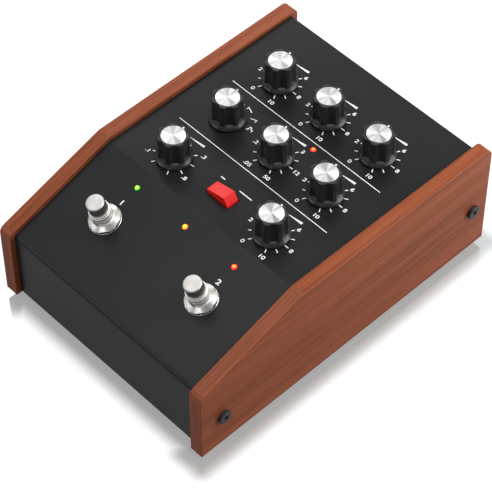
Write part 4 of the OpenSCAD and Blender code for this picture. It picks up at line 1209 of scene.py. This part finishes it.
def build_floor():
    bm = bmesh.new()
    bmesh.ops.create_grid(bm, x_segments=1, y_segments=1, size=FLOOR_HALF)
    mesh = bpy.data.meshes.new("floor")
    bm.to_mesh(mesh)
    bm.free()
    material, tree, shader = finish(
        "white_floor", Base_Color=(FLOOR_GREY, FLOOR_GREY, FLOOR_GREY, 1), Roughness=0.12,
        Specular_IOR_Level=0.6, Emission_Color=(1, 1, 1, 1))
    straight = node(tree, "ShaderNodeLightPath").outputs["Is Camera Ray"]
    place = parts_of(tree, object_point(tree))
    start, end = (CHEEK_HIGH.y + off for off in FLOOR_GROWS)
    behind = spread(tree, place["Y"], FLOOR_MIRRORED, FLOOR_BEHIND, start, end)
    feed(tree, shader, {"Emission Strength": between(tree, straight, behind, FLOOR_GLOW)})
    dim = node(tree, "ShaderNodeBsdfDiffuse", {"Color": (FLOOR_BOUNCE, FLOOR_BOUNCE, FLOOR_BOUNCE, 1)})
    both = node(tree, "ShaderNodeMixShader", {0: seen_rays(tree), 1: dim.outputs[0], 2: shader.outputs[0]})
    mirror = node(tree, "ShaderNodeBsdfGlossy", {"Color": MIRROR_TINT, "Roughness": 0.0})
    close = maths(tree, "MULTIPLY", straight, near_case(tree, place))
    gloss = node(tree, "ShaderNodeMixShader", {0: close, 1: both.outputs[0], 2: mirror.outputs[0]})
    tree.links.new(gloss.outputs[0], tree.nodes["Material Output"].inputs["Surface"])
    coat(mesh, material)
    floor = carried("floor", mesh)


def area_light(name, at, aim, size, power):
    data = bpy.data.lights.new(name, "AREA")
    data.shape = "RECTANGLE"
    data.size, data.size_y = size
    data.energy = power
    light = carried(name, data)
    light.location = at
    light.rotation_euler = (Vector(aim) - Vector(at)).to_track_quat("-Z", "Y").to_euler()


def build_light():
    world = bpy.data.worlds.new("studio")
    scene.world = world
    world.use_nodes = True
    tree = world.node_tree
    tree.nodes.clear()
    facing = node(tree, "ShaderNodeVectorMath", {
        0: node(tree, "ShaderNodeTexCoord").outputs["Generated"], 1: DARK_SIDE}, operation="DOT_PRODUCT")
    mirrored = spread(tree, facing.outputs["Value"], SKY_SEEN, SKY_DARK, DARK_FROM, DARK_TO, "SMOOTHSTEP")
    straight = node(tree, "ShaderNodeLightPath").outputs["Is Camera Ray"]
    level = between(tree, straight, mirrored, SKY_SEEN)
    seen = node(tree, "ShaderNodeBackground", {"Color": (1, 1, 1, 1), "Strength": level})
    fill = node(tree, "ShaderNodeBackground", {"Color": SKY_TINT, "Strength": SKY_FILL})
    both = node(tree, "ShaderNodeMixShader", {0: seen_rays(tree), 1: fill.outputs[0], 2: seen.outputs[0]})
    node(tree, "ShaderNodeOutputWorld", {"Surface": both.outputs[0]})
    for name, (at, aim, size, power) in LIGHTS.items():
        area_light(name, at, aim, size, power)


# Camera at the photograph's viewing angle
CAMERA_AT = (0.5462, -0.5230, 0.9433)
CAMERA_AZIMUTH, CAMERA_ELEVATION, CAMERA_ROLL = 46.265, 50.746, -0.135
CAMERA_LENS, CAMERA_SENSOR = 162.6, 36


def build_camera():
    azimuth, elevation, roll = (math.radians(a) for a in (CAMERA_AZIMUTH, CAMERA_ELEVATION, CAMERA_ROLL))
    out = math.cos(elevation)
    back = Vector((math.sin(azimuth) * out, -math.cos(azimuth) * out, math.sin(elevation)))
    right = Vector((math.cos(azimuth), math.sin(azimuth), 0))
    up = back.cross(right)
    level = Matrix((right, up, back)).transposed()
    data = bpy.data.cameras.new("camera")
    data.lens = CAMERA_LENS
    data.sensor_width = CAMERA_SENSOR
    camera = carried("camera", data)
    turn = level @ Matrix.Rotation(roll, 3, "Z")
    camera.matrix_world = Matrix.Translation(CAMERA_AT) @ turn.to_4x4()
    scene.camera = camera


scene.view_settings.view_transform = "Standard"
build_cheeks()
build_chassis()
build_fasteners()
build_knobs()
build_rocker()
build_lamps()
build_footswitches()
build_sockets()
build_print()
finish_inside()
build_floor()
build_light()
build_camera()
